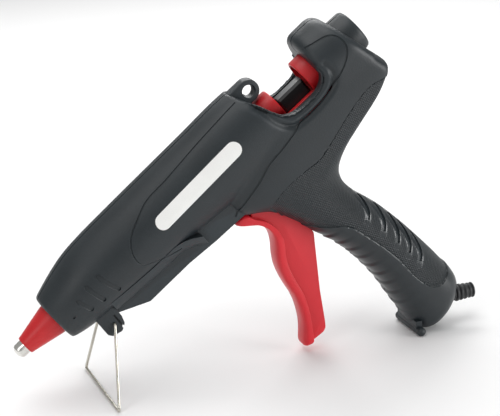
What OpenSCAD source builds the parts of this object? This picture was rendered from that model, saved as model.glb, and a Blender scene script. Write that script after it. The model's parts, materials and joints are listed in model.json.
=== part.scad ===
// Full-size trigger-fed hot-glue gun, standing on its wire stand and grip foot.
// Barrel frame: x runs back along the glue channel from the nozzle tip, y across, z up from the channel.

/* [Overall] */
// Angle of the barrel above the table, nose down
barrel_tilt = 36.5; // [36:0.5:37]
// Height of the nozzle tip's centre above the table
tip_height = 32.3; // [32.3:0.1:32.6]
// Length from the nozzle tip to the end of the stick inlet
gun_l = 263; // [262:0.5:264]

/* [Housing] */
// Thickness of the moulded shell
wall = 2.4; // [2:0.1:2.8]
// Largest half width of the barrel
barrel_b = 22.2; // [21.5:0.1:22.5]
// Half width of the grip
grip_b = 18; // [17:0.5:19]
// Radius of the round rear head
head_r = 22.9; // [22:0.1:23]
// Outside radius of the inlet boss
boss_r = 12.8; // [11.5:0.1:13.5]
// Radius of the hole in the hanging eye
eye_r = 3.7; // [3:0.1:4]
// Thickness of the hanging eye
eye_t = 7; // [6:0.5:8]

/* [Glue path] */
// Diameter of the glue stick
stick_d = 11.2; // [11:0.1:11.3]
// Radius of the stick passage in the guide and collars
stick_bore_r = 6.1; // [6:0.05:6.2]
// Radius of the outlet in the nozzle tip
outlet_r = 0.9; // [0.7:0.1:1.2]

/* [Feed] */
// How far the trigger turns
squeeze_deg = 20; // [14:1:20]
// Height of the drive pin above the trigger's pivot
arm_h = 20.5; // [20:0.5:21]
// Width of the stick gripper
gripper_w = 8.2; // [7.5:0.1:8.5]
// Width of the trigger's finger pad
pad_w = 14.6; // [13:0.2:15]
// Thickness of the trigger's web
web_t = 7; // [6:0.5:8]

/* [Stand] */
// Diameter of the stand's wire
wire_d = 1.7; // [1.6:0.1:2]
// Width of the stand where it meets the table
stand_w = 68; // [60:1:68]

/* [Cable] */
// Diameter of the power cord that the strain relief takes
cord_d = 6.4; // [6:0.1:6.8]
// Diameter of one insulated lead inside the grip
lead_d = 2; // [1.8:0.1:2.2]

/* [Hidden] */
$fn = 48;

ring_sides = 28;            // points round one section of a lofted shell
mid_x = 140.18;             // from the nozzle tip to the middle of the whole length, along the table
stand_pivot = [50.5, -22.3];  // x and z of the stand's pivot
bend_r = 0.06;              // how far the wire swells at its bends
stand_bar_x = 18.85;
stand_bar = [stand_bar_x,
    (wire_d / 2 + bend_r - tip_height - stand_bar_x * sin(barrel_tilt)) / cos(barrel_tilt)];
foot_r = 2.7;               // half the thickness of the foot bar
foot_x = 99.9;              // middle of the foot bar, along the table
foot_w = 30;                // length of the foot bar between its round ends
stand_lug_y = 8.4;          // middle of each stand lug
stand_lug_t = 8.8;          // thickness of each stand lug
trigger_pivot = [158, -31.5];
pin_r = 2.5;                // trigger pin
pin_l = 30;
drive_r = 1.6;              // drive pin
fit = 0.05;                 // radial clearance of a turning fit
gap = 0.35;                 // clearance between pieces that slide past each other
front_collar_r = 10.2;      // outside radii of the carriage's collars
rear_collar_r = 11.4;
swing = squeeze_deg / 2;    // the arm leans back by this much at rest and forward as far when squeezed
drive_x = trigger_pivot[0] + arm_h * tan(swing);
drive_z = trigger_pivot[1] + arm_h;
screw_points = [[66, 17.4], [82, -24], [126, -24.5], [168, 18.4], [250, -20], [194.5, -62], [205.5, -122],
                [183.5, -143]];
screw_head_y = 9;
relief_base = [206.9, -172.5];
eye_c = [193.6, 18.4];
eye_R = 6.7;

// rows of [x, centre z, rise, drop, half width, squareness] along the barrel
barrel_rows = [
    [28.5, 0, 14.4, 14.4, 14.4, 2], [29.5, 0, 15.3, 15.2, 15.3, 2], [35, 0.4, 16.8, 17, 17.3, 2],
    [45, 0.8, 19.4, 18.8, 19.6, 2], [56, 1, 21.8, 19.5, 20.9, 2], [70, 1.2, 22.9, 20.4, 21.6, 2],
    [90, 1.2, 23.4, 21.2, barrel_b, 2], [120, 1.4, 23.7, 22.8, barrel_b, 2],
    [150, 1.6, 23.8, 25.6, barrel_b, 2.05], [172, 1.8, 24.1, 28, barrel_b, 2.1],
    [184, 1.8, 23.8, 28, barrel_b, 2.1], [206, 2, 22, 28, barrel_b, 2.2]];
// rows of [z, front x, rear x, half width, squareness, depth of the rear corners] down the shoulder and grip
grip_rows = [
    [6, 176, 254.2, 21.6, 3, 8], [-8, 152, 258.6, 21.9, 3.2, 8], [-18, 144, 261.8, 21.8, 3.2, 8],
    [-23, 141, 262.6, 21.5, 3.2, 8], [-27.5, 141.4, 258.8, 21, 3.1, 9], [-32.5, 143.4, 250.6, 20.4, 2.8, 12],
    [-38, 150.4, 236, 19.8, 2.6, 20], [-43, 156, 222, 19.3, 2.5, 26], [-48.5, 159.2, 210.8, 18.9, 2.4, 25],
    [-54, 161.6, 204.4, 18.5, 2.4, 21.4], [-61, 164.4, 201.6, 18.1, 2.4, 18.6],
    [-68, 167, 201.8, 17.8, 2.4, 17.4],
    [-76, 169.2, 203.6, 17.6, 2.4, 17.2], [-90, 173.6, 208, grip_b, 2.4, 17.2],
    [-108, 176.9, 211.4, grip_b, 2.4, 17.25], [-126, 177.7, 213.6, grip_b, 2.4, 17.95],
    [-142, 176.4, 215, grip_b, 2.4, 19.3], [-156, 175.6, 215.2, 17.6, 2.4, 19.8],
    [-163, 175.4, 213.6, 16.8, 2.4, 19.1], [-168.5, 176.3, 208.5, 15, 2.3, 16.1],
    [-172.5, 179, 201, 11.5, 2.2, 11], [-174.2, 184, 194, 6.5, 2, 5]];
// rounding of the head's front and rear edges: [distance from the face, inset]
head_edge = [[0, 5.4], [0.5, 3.2], [1.6, 1.5], [3.4, 0.4], [6, 0]];
head_front = 228.8;

// outline of the rear bay, cut through from side to side
bay_outline = [[178.5, 40], [182, 28.4], [186, 21.4], [190.4, 15], [194.4, 6.2], [197.4, 0.8], [200.2, -1.8],
               [203.3, -3.1], [208, -4], [217.5, -3.9], [220.8, -3.4], [224.3, -2], [226.8, 0.2],
               [228.3, 2.9], [228.4, 6.4], [227.6, 6.4], [227.6, 40]];
bay_lip = [6.2, 3];           // how far the bay's rim reaches in from the side, and its height
bay_lip_y = 13.6;             // where the rim ends, clear of the carriage
// outline of the trigger's finger pad: front edge, then back along the step to the web
pad_outline = [[138, -33.6], [139.6, -37.4], [142.6, -40.2], [146, -43], [148.6, -47.2], [149.8, -52],
               [149.2, -57], [146.4, -62.6], [142.6, -68], [139.4, -74], [137.2, -81], [135.8, -88.5],
               [134.8, -95.5], [132.6, -102.6], [128, -112], [120.5, -121.4], [118.6, -124.2], [120, -127],
               [123, -127.6], [126.2, -125.6], [130.5, -116.5], [134.8, -109], [138.4, -100.4], [140.6, -91],
               [142.6, -81], [146.5, -71.5], [151.4, -64], [153.4, -57], [153, -50], [150.4, -43.6],
               [147.4, -39.4], [146, -36], [144, -33]];
web_outline = [[147, -39.4], [152, -31], [163.5, -27], [168.4, -40], [170.4, -60], [168.2, -74.4],
               [148.4, -104.6], [138.6, -121.6], [136.2, -125.2], [133.6, -126.4], [125.4, -126], [128.6, -118],
               [134.6, -105], [137.6, -93], [139.4, -81], [143.6, -71], [150, -62], [151.2, -50]];

// places a shape drawn in the barrel frame on the table
module barrel_frame() {
    translate([-mid_x, 0, tip_height]) rotate([0, -barrel_tilt, 0]) children();
}

// turns z to run back along the barrel, starting at x
module along(x, z = 0, y = 0) {
    translate([x, y, z]) rotate([0, 90, 0]) children();
}

// an outline in x and z, given thickness t about the mid plane
module plate(t, y = 0) {
    translate([0, y, 0]) rotate([90, 0, 0]) linear_extrude(height = t, center = true) children();
}

// a round bar across the gun
module cross_bar(r, h, y = 0) {
    translate([0, y, 0]) rotate([90, 0, 0]) cylinder(r = r, h = h, center = true);
}

function power(v, n) = sign(v) * pow(abs(v), 2 / n);
function barrel_ring(row, inset) = [for (k = [0:ring_sides - 1])
    let (a = 360 * (k + 0.5) / ring_sides, s = power(sin(a), row[5]))
    [row[0], (row[4] - inset) * power(cos(a), row[5]), row[1] + s * ((s > 0 ? row[2] : row[3]) - inset)]];
function grip_ring(row, inset) = [for (k = [0:ring_sides - 1])
    let (a = 360 * (k + 0.5) / ring_sides, c = power(cos(a), row[4]), front_a = (row[2] - row[1]) / 2)
    [c > 0 ? row[2] - row[5] + (row[5] - inset) * c : row[1] + front_a + (front_a - inset) * c,
     -(row[3] - inset) * power(sin(a), row[4]), row[0]]];
// where the sloping rear face of the head lies at height z
function rear_x(z) = 256 - 0.287 * z;
// a section of the head, round above and straight below, inset by e, at x or else d in front of the rear face
function head_ring(e, x, d) = [for (k = [0:ring_sides - 1])
    let (a = 180 * k / (ring_sides - 3), r = head_r - e, low = k > ring_sides - 3,
         y = low ? (k == ring_sides - 1 ? 1 : -1) * (r - 1) : r * cos(a), z = low ? -12 : r * sin(a))
    [x == undef ? rear_x(z) - d : x, y, z]];

// closes a list of rings into a solid
module loft(rings) {
    n = len(rings[0]);
    last = len(rings) - 1;
    polyhedron(points = [for (r = rings) for (p = r) p],
        faces = concat([[for (k = [0:n - 1]) k]], [[for (k = [n - 1:-1:0]) last * n + k]],
            [for (i = [0:last - 1]) for (k = [0:n - 1])
                let (a = i * n + k, b = i * n + (k + 1) % n) each [[a, a + n, b], [b, a + n, b + n]]]));
}

// a soft tube of diameter d along a list of points, with 8 sides
function unit(v) = v / norm(v);
function heading(p, i) = unit(p[min(i + 1, len(p) - 1)] - p[max(i - 1, 0)]);
module tube(p, d) {
    loft([for (i = [0:len(p) - 1])
        let (t = heading(p, i), u = unit(cross(t, [0, 1, 0.02])), v = cross(t, u))
        [for (k = [0:7]) p[i] + d / 2 * (cos(45 * k) * u + sin(45 * k) * v)]]);
}

module head_shape() {
    loft(concat([for (p = head_edge) head_ring(p[1], head_front + p[0])],
                [for (i = [len(head_edge) - 1:-1:0]) head_ring(head_edge[i][1], undef, head_edge[i][0])]));
}
module head_room() {
    loft(concat([head_ring(wall, 226)], [head_ring(wall, 240)], [head_ring(wall, undef, wall + 3.6)],
                [head_ring(wall + 1.6, undef, wall + 1.2)], [head_ring(wall + 4, undef, wall)]));
}

module keel_shape(half, inset) {
    plate(2 * (half - inset)) polygon([[54, -12], [57.4 + 2 * inset, -20.4 + inset], [73.6, -28.9 + inset],
        [104, -28.9 + inset], [124, -30.5 + inset], [146 - inset, -31.2 + inset], [146 - inset, -12]]);
    if (inset == 0)
        plate(2 * half - 5) polygon([[54, -12], [56.4, -21.4], [72.4, -29.6], [104, -29.7], [124, -31.2],
                                     [146, -31.7], [146, -12]]);
}

module housing_outside() {
    loft([for (r = barrel_rows) barrel_ring(r, 0)]);
    loft([for (r = grip_rows) grip_ring(r, 0)]);
    head_shape();
    along(250) rotate_extrude($fn = 72)
        polygon([[0, 0], [boss_r + 0.4, 0], [boss_r, gun_l - 252], [boss_r - 1, gun_l - 250],
                 [0, gun_l - 250]]);
    keel_shape(11, 0);
}

module housing_inside() {
    loft([for (i = [2:len(barrel_rows) - 1]) barrel_ring(barrel_rows[i], wall)]);
    loft([for (i = [0:len(grip_rows) - 3]) grip_ring(grip_rows[i], wall)]);
    head_room();
    keel_shape(11, wall);
}

// plates moulded across the shell, bored for what they hold
module rib(x, bore_r, t = 2.4, reach = 20.6) {
    difference() {
        along(x) cylinder(r = reach, h = t);
        along(x - 1) cylinder(r = bore_r, h = t + 2);
    }
}

module eye_plate() {
    plate(eye_t) union() {
        translate(eye_c) circle(r = eye_R);
        polygon([[174, 11.7], [eye_c[0], eye_c[1] - eye_R], [eye_c[0], eye_c[1] + eye_R], [174, 25.1]]);
    }
}

module stand_lugs() {
    for (side = [-1, 1])
        plate(stand_lug_t, side * stand_lug_y) union() {
            translate(stand_pivot) circle(r = 5.6);
            polygon([[43.4, -14], [43.4, -25], [45.2, -27.4], [50.5, -27.9], [56, -23], [58.4, -14]]);
        }
}

module screw_columns(r) {
    for (p = screw_points) translate([p[0], 0, p[1]]) cross_bar(r, 34);
}

// everything inside a half shell's outline, before it is cut at the mid plane
module housing_solid() {
    difference() {
        union() {
            difference() {
                housing_outside();
                housing_inside();
                plate(120) polygon(bay_outline);
                trigger_room();
            }
            rib(36, 10.2, 2.6, 16.4);
            rib(64, 12.1);
            rib(111, 12.1);
            rib(140, 9.6);
            rib(230.4, rear_collar_r + gap, 2.4, 21);
            rib(240, 12, 2.4, 21);
            eye_plate();
            stand_lugs();
            intersection() {
                housing_outside();
                union() {
                    screw_columns(4.6);
                    translate([trigger_pivot[0], 0, trigger_pivot[1]])
                        for (side = [-1, 1]) cross_bar(5.4, 8, side * 12.2);
                    relief_seat();
                    clamp_posts();
                    translate([153.6, 9, -14.4]) cube([2.4, 14, 6]);
                    for (side = [-1, 1]) plate(bay_lip[0], side * (bay_lip_y + bay_lip[0] / 2)) difference() {
                        offset(delta = bay_lip[1]) polygon(bay_outline);
                        polygon(bay_outline);
                    }
                }
            }
        }
        along(20) cylinder(r = 9.85, h = 14);
        along(250 - 14) cylinder(r = stick_bore_r + 2.4, h = 40);
        translate([eye_c[0], 0, eye_c[1]]) cross_bar(eye_r, 20);
        translate([stand_pivot[0], 0, stand_pivot[1]]) cross_bar(wire_d / 2 + fit, 80);
        along(33) cylinder(r = 11.3, h = 3.1);
        relief_bore();
        translate([trigger_pivot[0], 0, trigger_pivot[1]]) cross_bar(pin_r, pin_l + 0.2);
        for (side = [-1, 1]) along(106, -15.6, side * 7) cylinder(r = lead_d / 2 + 0.8, h = 42);
    }
}

// the space that the trigger sweeps: the pad's recess at the nose, and a slot for the web
module trigger_room() {
    plate(pad_w + 1.2) polygon([[132, -34], [139, -29.5], [147, -27], [152, -27], [158, -36], [160.4, -46],
        [161, -56], [160, -64], [150, -70], [132, -70]]);
    plate(web_t + 1) polygon([[140, -44], [150, -24], [170, -24], [186, -44], [188, -70], [182, -98],
        [174, -112], [150, -112]]);
}

// a seat for the strain relief's neck at the bottom of the grip
module relief_axis() {
    translate([relief_base[0], 0, relief_base[1]]) rotate([0, 90 + barrel_tilt, 0]) children();
}
module relief_seat() {
    relief_axis() translate([0, 0, -16]) cylinder(r = 9.5, h = 20);
}
module relief_bore() {
    relief_axis() translate([0, 0, -30]) cylinder(r = 4.6, h = 60);
    relief_axis() translate([0, 0, -9]) cylinder(r = 6.6, h = 3.1);
}
module clamp_posts() {
    for (side = [-1, 1]) clamp_place(side) cross_bar(3.2, 20, -10);
}
// the two screws of the cable clamp stand either side of the cord
clamp_pitch = 15;
clamp_depth = 25;           // from the back of the grip to the clamp, along the cord
clamp_l = 6.4;
module clamp_place(side) {
    relief_axis() translate([side * clamp_pitch / 2, 0, -clamp_depth])
        rotate([0, -90 - barrel_tilt, 0]) children();
}

// half of the shell, with side -1 for the left half
module half_shell(side) {
    intersection() {
        housing_solid();
        translate([-20, side < 0 ? -100 : 0, -250]) cube([400, 100, 400]);
    }
}

module housing_left() {
    color([0.2, 0.22, 0.24]) barrel_frame() difference() {
        half_shell(-1);
        for (p = screw_points) translate([p[0], 0, p[1]]) cross_bar(1.3, 18.4);
        for (side = [-1, 1]) clamp_place(side) cross_bar(1.1, 18);
    }
}

module housing_right() {
    color([0.2, 0.22, 0.24]) barrel_frame() difference() {
        half_shell(1);
        for (p = screw_points) translate([p[0], 0, p[1]]) {
            cross_bar(1.75, 60);
            cross_bar(3.3, 30, screw_head_y + 15);
        }
    }
}

module housing_screws() {
    color([0.55, 0.56, 0.58]) barrel_frame() for (p = screw_points) translate([p[0], 0, p[1]]) {
        difference() {
            cross_bar(2.9, 2, screw_head_y + 1);
            cross_bar(0.5, 1.2, screw_head_y + 1.8);
        }
        cross_bar(1.45, screw_head_y + 9.01, 0);
    }
}

module nozzle_tip() {
    color([0.8, 0.8, 0.78]) barrel_frame() along(0) difference() {
        rotate_extrude($fn = 72) polygon([[0, 0], [1.9, 0], [3.9, 1.2], [4.3, 2.2], [4.5, 9], [4.9, 9.6],
                                          [4.9, 24], [6, 24], [6, 31], [4.4, 31], [4.4, 38], [0, 38]]);
        translate([0, 0, -1]) cylinder(r = outlet_r, h = 12);
        translate([0, 0, 10.5]) cylinder(r1 = 0.9, r2 = 2.6, h = 2.2);
        translate([0, 0, 12.6]) cylinder(r = 2.6, h = 30);
    }
}

module nozzle_ball() {
    color([0.7, 0.7, 0.72]) barrel_frame() along(14.6) sphere(r = 2.1);
}

// the spring's outer shape: coils of fine wire
module nozzle_spring() {
    color([0.6, 0.6, 0.62]) barrel_frame() along(17) rotate_extrude()
        for (i = [0:9]) translate([2, 0.4 + i * 1.6]) circle(r = 0.42, $fn = 16);
    color([0.6, 0.6, 0.62]) barrel_frame() along(17) for (i = [0:8]) translate([2, 0, 0.4 + i * 1.6])
        cylinder(r = 0.3, h = 1.6);
}

module nozzle_sleeve() {
    color([0.84, 0.13, 0.17]) barrel_frame() along(0) difference() {
        rotate_extrude($fn = 72) polygon([[0, 6.4], [4.9, 6.4], [5.5, 7], [9.7, 27], [9.7, 33.3], [11.1, 33.3],
                                          [11.1, 35.9], [0, 35.9]]);
        cylinder(r = 4.55, h = 9.2);
        translate([0, 0, 9]) cylinder(r = 5, h = 15);
        translate([0, 0, 23.9]) cylinder(r = 6.3, h = 20);
    }
}

module melt_chamber() {
    color([0.7, 0.71, 0.72]) barrel_frame() difference() {
        union() {
            along(31.1) cylinder(r = 6.2, h = 6);
            along(37) cylinder(r1 = 8, r2 = 9.2, h = 14);
            along(51) cylinder(r = 9.2, h = 67);
            along(118) cylinder(r = 7.6, h = 10);
            for (x = [70:7:105]) along(x) cylinder(r = 10.6, h = 1.6);
            translate([68.2, -7.5, -12.4]) cube([36, 15, 8]);
        }
        along(30) cylinder(r = 4.45, h = 12);
        along(41) cylinder(r1 = 4.45, r2 = stick_d / 2 + 0.2, h = 18);
        along(58.9) cylinder(r = stick_d / 2 + 0.2, h = 80);
    }
}

module mount_ring(x) {
    along(x) difference() {
        cylinder(r = 12, h = 8);
        translate([0, 0, -1]) cylinder(r = 9.2, h = 10);
    }
}
module front_mount_ring() {
    color([0.82, 0.78, 0.66]) barrel_frame() mount_ring(60);
}
module rear_mount_ring() {
    color([0.82, 0.78, 0.66]) barrel_frame() mount_ring(107.6);
}

module heater_core() {
    color([0.85, 0.84, 0.8]) barrel_frame() translate([70, -6.5, -15.2]) cube([30, 13, 2.8]);
}

module heater_clamp() {
    color([0.62, 0.62, 0.6]) barrel_frame() difference() {
        translate([74, -8.4, -16.2]) cube([22, 16.8, 9.2]);
        translate([73, -7.5, -15.2]) cube([24, 15, 9.4]);
        along(73) cylinder(r = 10.7, h = 24);
    }
}

module thermal_fuse() {
    color([0.85, 0.84, 0.78]) barrel_frame() {
        along(78, 13.2) cylinder(r = 2.2, h = 14);
        along(72, 13.2) cylinder(r = 0.6, h = 26);
    }
}

module inlet_sleeve() {
    color([0.75, 0.2, 0.16]) barrel_frame() along(119) difference() {
        rotate_extrude($fn = 72) polygon([[0, 0], [9.2, 0], [9.2, 11], [8.2, 13], [8.2, 20], [9.5, 21],
                                          [9.5, 27], [8.8, 28], [0, 28]]);
        translate([0, 0, -1]) cylinder(r = 7.6, h = 10);
        translate([0, 0, 8]) cylinder(r = stick_d / 2 + 0.15, h = 30);
        translate([0, 0, 23]) cylinder(r1 = stick_d / 2, r2 = 8, h = 5.1);
    }
}

module sleeve_clip() {
    color([0.6, 0.6, 0.62]) barrel_frame() along(122) {
        difference() {
            cylinder(r = 9.9, h = 3);
            translate([0, 0, -1]) cylinder(r = 9.25, h = 5);
        }
        for (side = [-1, 1]) translate([-14, side * 1.4 - 0.5, 0]) cube([4.6, 1, 3]);
    }
}

module stick_guide() {
    color([0.16, 0.17, 0.18]) barrel_frame() along(0) difference() {
        rotate_extrude($fn = 72)
            polygon([[0, 238], [11, 238], [11, 239.8], [11.8, 239.8], [11.8, 242.4], [8.45, 242.4],
                     [8.45, gun_l - 0.6], [0, gun_l - 0.6]]);
        translate([0, 0, 230]) cylinder(r = stick_bore_r, h = 40);
    }
}

module feed_carriage() {
    color([0.68, 0.14, 0.17]) barrel_frame() difference() {
        union() {
            along(189) cylinder(r1 = 8.8, r2 = front_collar_r, h = 5);
            along(193.99) cylinder(r = front_collar_r, h = 7);
            along(221.4) cylinder(r = rear_collar_r, h = 12);
            for (side = [-1, 1]) {
                translate([190, side * 6.6 - 1.6, -24]) cube([39.4, 3.2, 17.2]);
                translate([drive_x - 4.6, side * 6.6 - 1.6, drive_z - 4]) cube([195 - drive_x, 3.2, 7.6]);
            }
            translate([194, -8, -24]) cube([34, 16, 2]);
            translate([180, -8, drive_z - 4]) cube([14, 16, 2.6]);
            translate([186, 6.6, -14]) cube([3, 7.4, 5]);
        }
        along(180) cylinder(r = stick_bore_r + 0.3, h = 60);
        along(196.5) cylinder(r1 = stick_bore_r + 0.2, r2 = front_collar_r - 1.5, h = 4.6);
        along(221) cylinder(r = rear_collar_r - 1.6, h = 9);
        translate([drive_x, 0, drive_z]) cross_bar(drive_r, 40);
        translate([201, -5, -21.9]) cube([20.4, 10, 40]);
    }
}

module drive_pin() {
    color([0.6, 0.6, 0.62]) barrel_frame() translate([drive_x, 0, drive_z]) cross_bar(drive_r, 16);
}

module stick_gripper() {
    color([0.07, 0.07, 0.08]) barrel_frame() {
        difference() {
            translate([201.6, -gripper_w / 2, -10.4]) cube([19.2, gripper_w, 12.4]);
            translate([211.2, 0, -12]) cylinder(r = 2.8, h = 9);
        }
    }
}

module gripper_spring() {
    color([0.6, 0.6, 0.62]) barrel_frame() translate([211.2, 0, -21.8]) difference() {
        cylinder(r = 2.3, h = 18.6);
        translate([0, 0, -1]) cylinder(r = 1.6, h = 22);
    }
}

module trigger() {
    color([0.78, 0.16, 0.2]) barrel_frame() difference() {
        union() {
            plate(pad_w) polygon(pad_outline);
            plate(web_t) polygon(web_outline);
            translate([trigger_pivot[0], 0, trigger_pivot[1]]) cross_bar(6, 14);
            plate(web_t) polygon([[trigger_pivot[0] - 6, trigger_pivot[1]], [drive_x - 4.4, drive_z + 2],
                [drive_x - 2.6, drive_z + 3.6], [drive_x + 2.6, drive_z + 3.6], [drive_x + 4.4, drive_z + 2],
                [trigger_pivot[0] + 6, trigger_pivot[1]]]);
        }
        translate([trigger_pivot[0], 0, trigger_pivot[1]]) cross_bar(pin_r + fit, 40);
        plate(20) translate([drive_x, drive_z]) rotate(-swing) {
            translate([0, 0.5]) circle(r = drive_r + 0.25);
            translate([0, -0.5]) circle(r = drive_r + 0.25);
            square([2 * drive_r + 0.5, 1], center = true);
        }
    }
}

module trigger_pin() {
    color([0.62, 0.63, 0.65]) barrel_frame() translate([trigger_pivot[0], 0, trigger_pivot[1]])
        cross_bar(pin_r, pin_l);
}

module return_spring() {
    color([0.6, 0.6, 0.62]) barrel_frame() along(156, -11.5, 11.5) difference() {
        cylinder(r = 2.3, h = 30);
        translate([0, 0, -1]) cylinder(r = 1.6, h = 32);
    }
}

// one bent wire: an end in each lug, two legs and the bar on the table
module wire_stand() {
    r = wire_d / 2;
    inner = stand_lug_y - stand_lug_t / 2 + 1.5;
    outer = stand_lug_y + stand_lug_t / 2 + r + 0.25;
    function at(p, y) = [p[0], y, p[1]];
    color([0.78, 0.77, 0.74]) barrel_frame() {
        for (side = [-1, 1]) {
            wire(at(stand_pivot, side * inner), at(stand_pivot, side * outer), r);
            wire(at(stand_pivot, side * outer), at(stand_bar, side * stand_w / 2), r);
            for (p = [at(stand_pivot, side * outer), at(stand_bar, side * stand_w / 2)])
                translate(p) sphere(r = r + bend_r);
        }
        wire(at(stand_bar, -stand_w / 2), at(stand_bar, stand_w / 2), r);
    }
}
module wire(a, b, r) {
    v = b - a;
    translate(a) rotate([0, acos(v[2] / norm(v)), atan2(v[1], v[0])]) cylinder(r = r, h = norm(v));
}

// a bar across the front of the grip's heel, round underneath where it meets the table
module grip_foot() {
    color([0.13, 0.14, 0.15]) difference() {
        translate([foot_x, 0, foot_r]) {
            cross_bar(foot_r, foot_w);
            for (side = [-1, 1]) translate([0, side * foot_w / 2, 0]) sphere(r = foot_r);
            translate([-foot_r + 0.4, -foot_w / 2 + 2, 0]) cube([4, foot_w - 4, 6]);
        }
        barrel_frame() loft([for (i = [10:len(grip_rows) - 1]) grip_ring(grip_rows[i], 0)]);
    }
}

module strain_relief() {
    color([0.1, 0.1, 0.11]) barrel_frame() relief_axis() difference() {
        union() {
            translate([0, 0, -14]) cylinder(r = 4.55, h = 14.5);
            translate([0, 0, -9]) cylinder(r = 6.5, h = 3);
            translate([0, 0, -0.01]) cylinder(r1 = 4.3, r2 = 3.9, h = 12.8);
            for (i = [0:3]) translate([0, 0, 0.8 + i * 2.8])
                cylinder(r1 = 5.3 - i * 0.25, r2 = 5 - i * 0.25, h = 1.9);
        }
        translate([0, 0, -20]) cylinder(r = cord_d / 2, h = 40);
    }
}

// a saddle over the cord, screwed to two posts of the left half
module cable_clamp() {
    color([0.25, 0.26, 0.27]) barrel_frame() difference() {
        union() {
            for (side = [-1, 1]) clamp_place(side) cross_bar(3.2, 2.2, 1.1);
            relief_axis() translate([-clamp_pitch / 2, 0, -clamp_depth - clamp_l / 2])
                cube([clamp_pitch, 2.2, clamp_l]);
            intersection() {
                relief_axis() translate([0, 0, -clamp_depth - clamp_l / 2])
                    cylinder(r = cord_d / 2 + 2, h = clamp_l);
                translate([100, 0, -250]) cube([200, 20, 300]);
            }
        }
        relief_axis() translate([0, 0, -40]) cylinder(r = cord_d / 2, h = 40);
        for (side = [-1, 1]) clamp_place(side) cross_bar(1.5, 10);
    }
}

module clamp_screws() {
    color([0.55, 0.56, 0.58]) barrel_frame() for (side = [-1, 1]) clamp_place(side) {
        cross_bar(2.5, 1.6, 3);
        cross_bar(1.25, 10.2, -2.8);
    }
}

module terminal_block() {
    color([0.88, 0.88, 0.84]) barrel_frame() translate([186.5, -5, -136]) difference() {
        cube([12, 10, 16]);
        for (y = [2.6, 7.4]) translate([6, y, -1]) cylinder(r = 1.1, h = 20);
    }
}

// leads run from the terminal block up the grip and forward to the heater
function lead_route(side) = [
    [192.5, side * 2.4, -119.6], [192, side * 3, -112], [190.5, side * 5, -100], [188, side * 9, -88],
    [187, side * 12, -76], [186, side * 13, -64], [183, side * 13.5, -52], [177, side * 14, -40],
    [170, side * 13.6, -30], [162, side * 12, -22.5], [152, side * 9.4, -17.4], [144, side * 7.4, -15.8],
    [132, side * 7, -15.6], [118, side * 7, -15.6], [108, side * 6.6, -15.4], [100.6, side * 4, -14]];

module live_lead() {
    color([0.45, 0.27, 0.14]) barrel_frame() tube(lead_route(-1), lead_d);
}
module neutral_lead() {
    color([0.18, 0.35, 0.62]) barrel_frame() tube(lead_route(1), lead_d);
}

housing_left();
housing_right();
housing_screws();
nozzle_tip();
nozzle_ball();
nozzle_spring();
nozzle_sleeve();
melt_chamber();
front_mount_ring();
rear_mount_ring();
heater_core();
heater_clamp();
thermal_fuse();
inlet_sleeve();
sleeve_clip();
stick_guide();
feed_carriage();
drive_pin();
stick_gripper();
gripper_spring();
trigger();
trigger_pin();
return_spring();
wire_stand();
grip_foot();
strain_relief();
cable_clamp();
clamp_screws();
terminal_block();
live_lead();
neutral_lead();
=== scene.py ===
"""Looks of a trigger-fed hot glue gun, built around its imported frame. All shapes are in the barrel frame:
u runs back along the glue channel from the nozzle tip, y across the gun, w up from the channel, in mm."""
import json
import math

import bmesh
import bpy
import numpy as np
from mathutils import Matrix, Vector
from mathutils.bvhtree import BVHTree

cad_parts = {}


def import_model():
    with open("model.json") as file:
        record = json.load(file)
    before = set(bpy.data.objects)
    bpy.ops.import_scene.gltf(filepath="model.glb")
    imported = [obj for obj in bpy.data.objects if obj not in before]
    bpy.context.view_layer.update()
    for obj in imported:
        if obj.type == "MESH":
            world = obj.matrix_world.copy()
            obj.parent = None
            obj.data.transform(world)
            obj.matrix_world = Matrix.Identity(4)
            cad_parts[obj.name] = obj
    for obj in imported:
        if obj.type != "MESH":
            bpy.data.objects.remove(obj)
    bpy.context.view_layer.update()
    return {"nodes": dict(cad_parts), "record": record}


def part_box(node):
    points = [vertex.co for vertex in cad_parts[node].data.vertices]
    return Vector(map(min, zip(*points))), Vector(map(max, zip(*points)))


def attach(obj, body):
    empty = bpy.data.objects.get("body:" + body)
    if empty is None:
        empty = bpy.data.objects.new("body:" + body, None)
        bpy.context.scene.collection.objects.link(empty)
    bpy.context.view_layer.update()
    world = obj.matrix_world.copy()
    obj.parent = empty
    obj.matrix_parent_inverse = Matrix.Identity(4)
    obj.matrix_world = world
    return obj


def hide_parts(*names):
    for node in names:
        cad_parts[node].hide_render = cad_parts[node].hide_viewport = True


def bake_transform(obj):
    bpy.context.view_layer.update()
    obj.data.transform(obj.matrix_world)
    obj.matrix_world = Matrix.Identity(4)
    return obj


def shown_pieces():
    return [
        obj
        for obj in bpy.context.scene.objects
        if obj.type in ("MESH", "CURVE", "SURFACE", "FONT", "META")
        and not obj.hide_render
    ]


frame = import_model()

MOUNTS = {m["name"]: m for m in frame["record"]["mounts"]}
U = np.array(MOUNTS["stick_inlet"]["axis"], float)
U /= np.linalg.norm(U)
Y = np.array([0.0, 1.0, 0.0])
W = np.array([-U[2], 0.0, U[0]])
OUTLET_HALF = MOUNTS["glue_outlet"]["dims"]["length_mm"] / 2000
ORIGIN = np.array(MOUNTS["glue_outlet"]["pos_m"], float) - U * OUTLET_HALF


def world(points):
    """Barrel-frame points in mm, as row-frame points in metres."""
    p = np.atleast_2d(np.asarray(points, float)) * 0.001
    return ORIGIN + p[:, :1] * U + p[:, 1:2] * Y + p[:, 2:3] * W


def local(points):
    """Row-frame points in metres, as barrel-frame points in mm."""
    d = np.atleast_2d(points) - ORIGIN
    return np.stack([d @ U, d @ Y, d @ W], 1) * 1000


# ---------------------------------------------------------------- camera, light and floor

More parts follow.
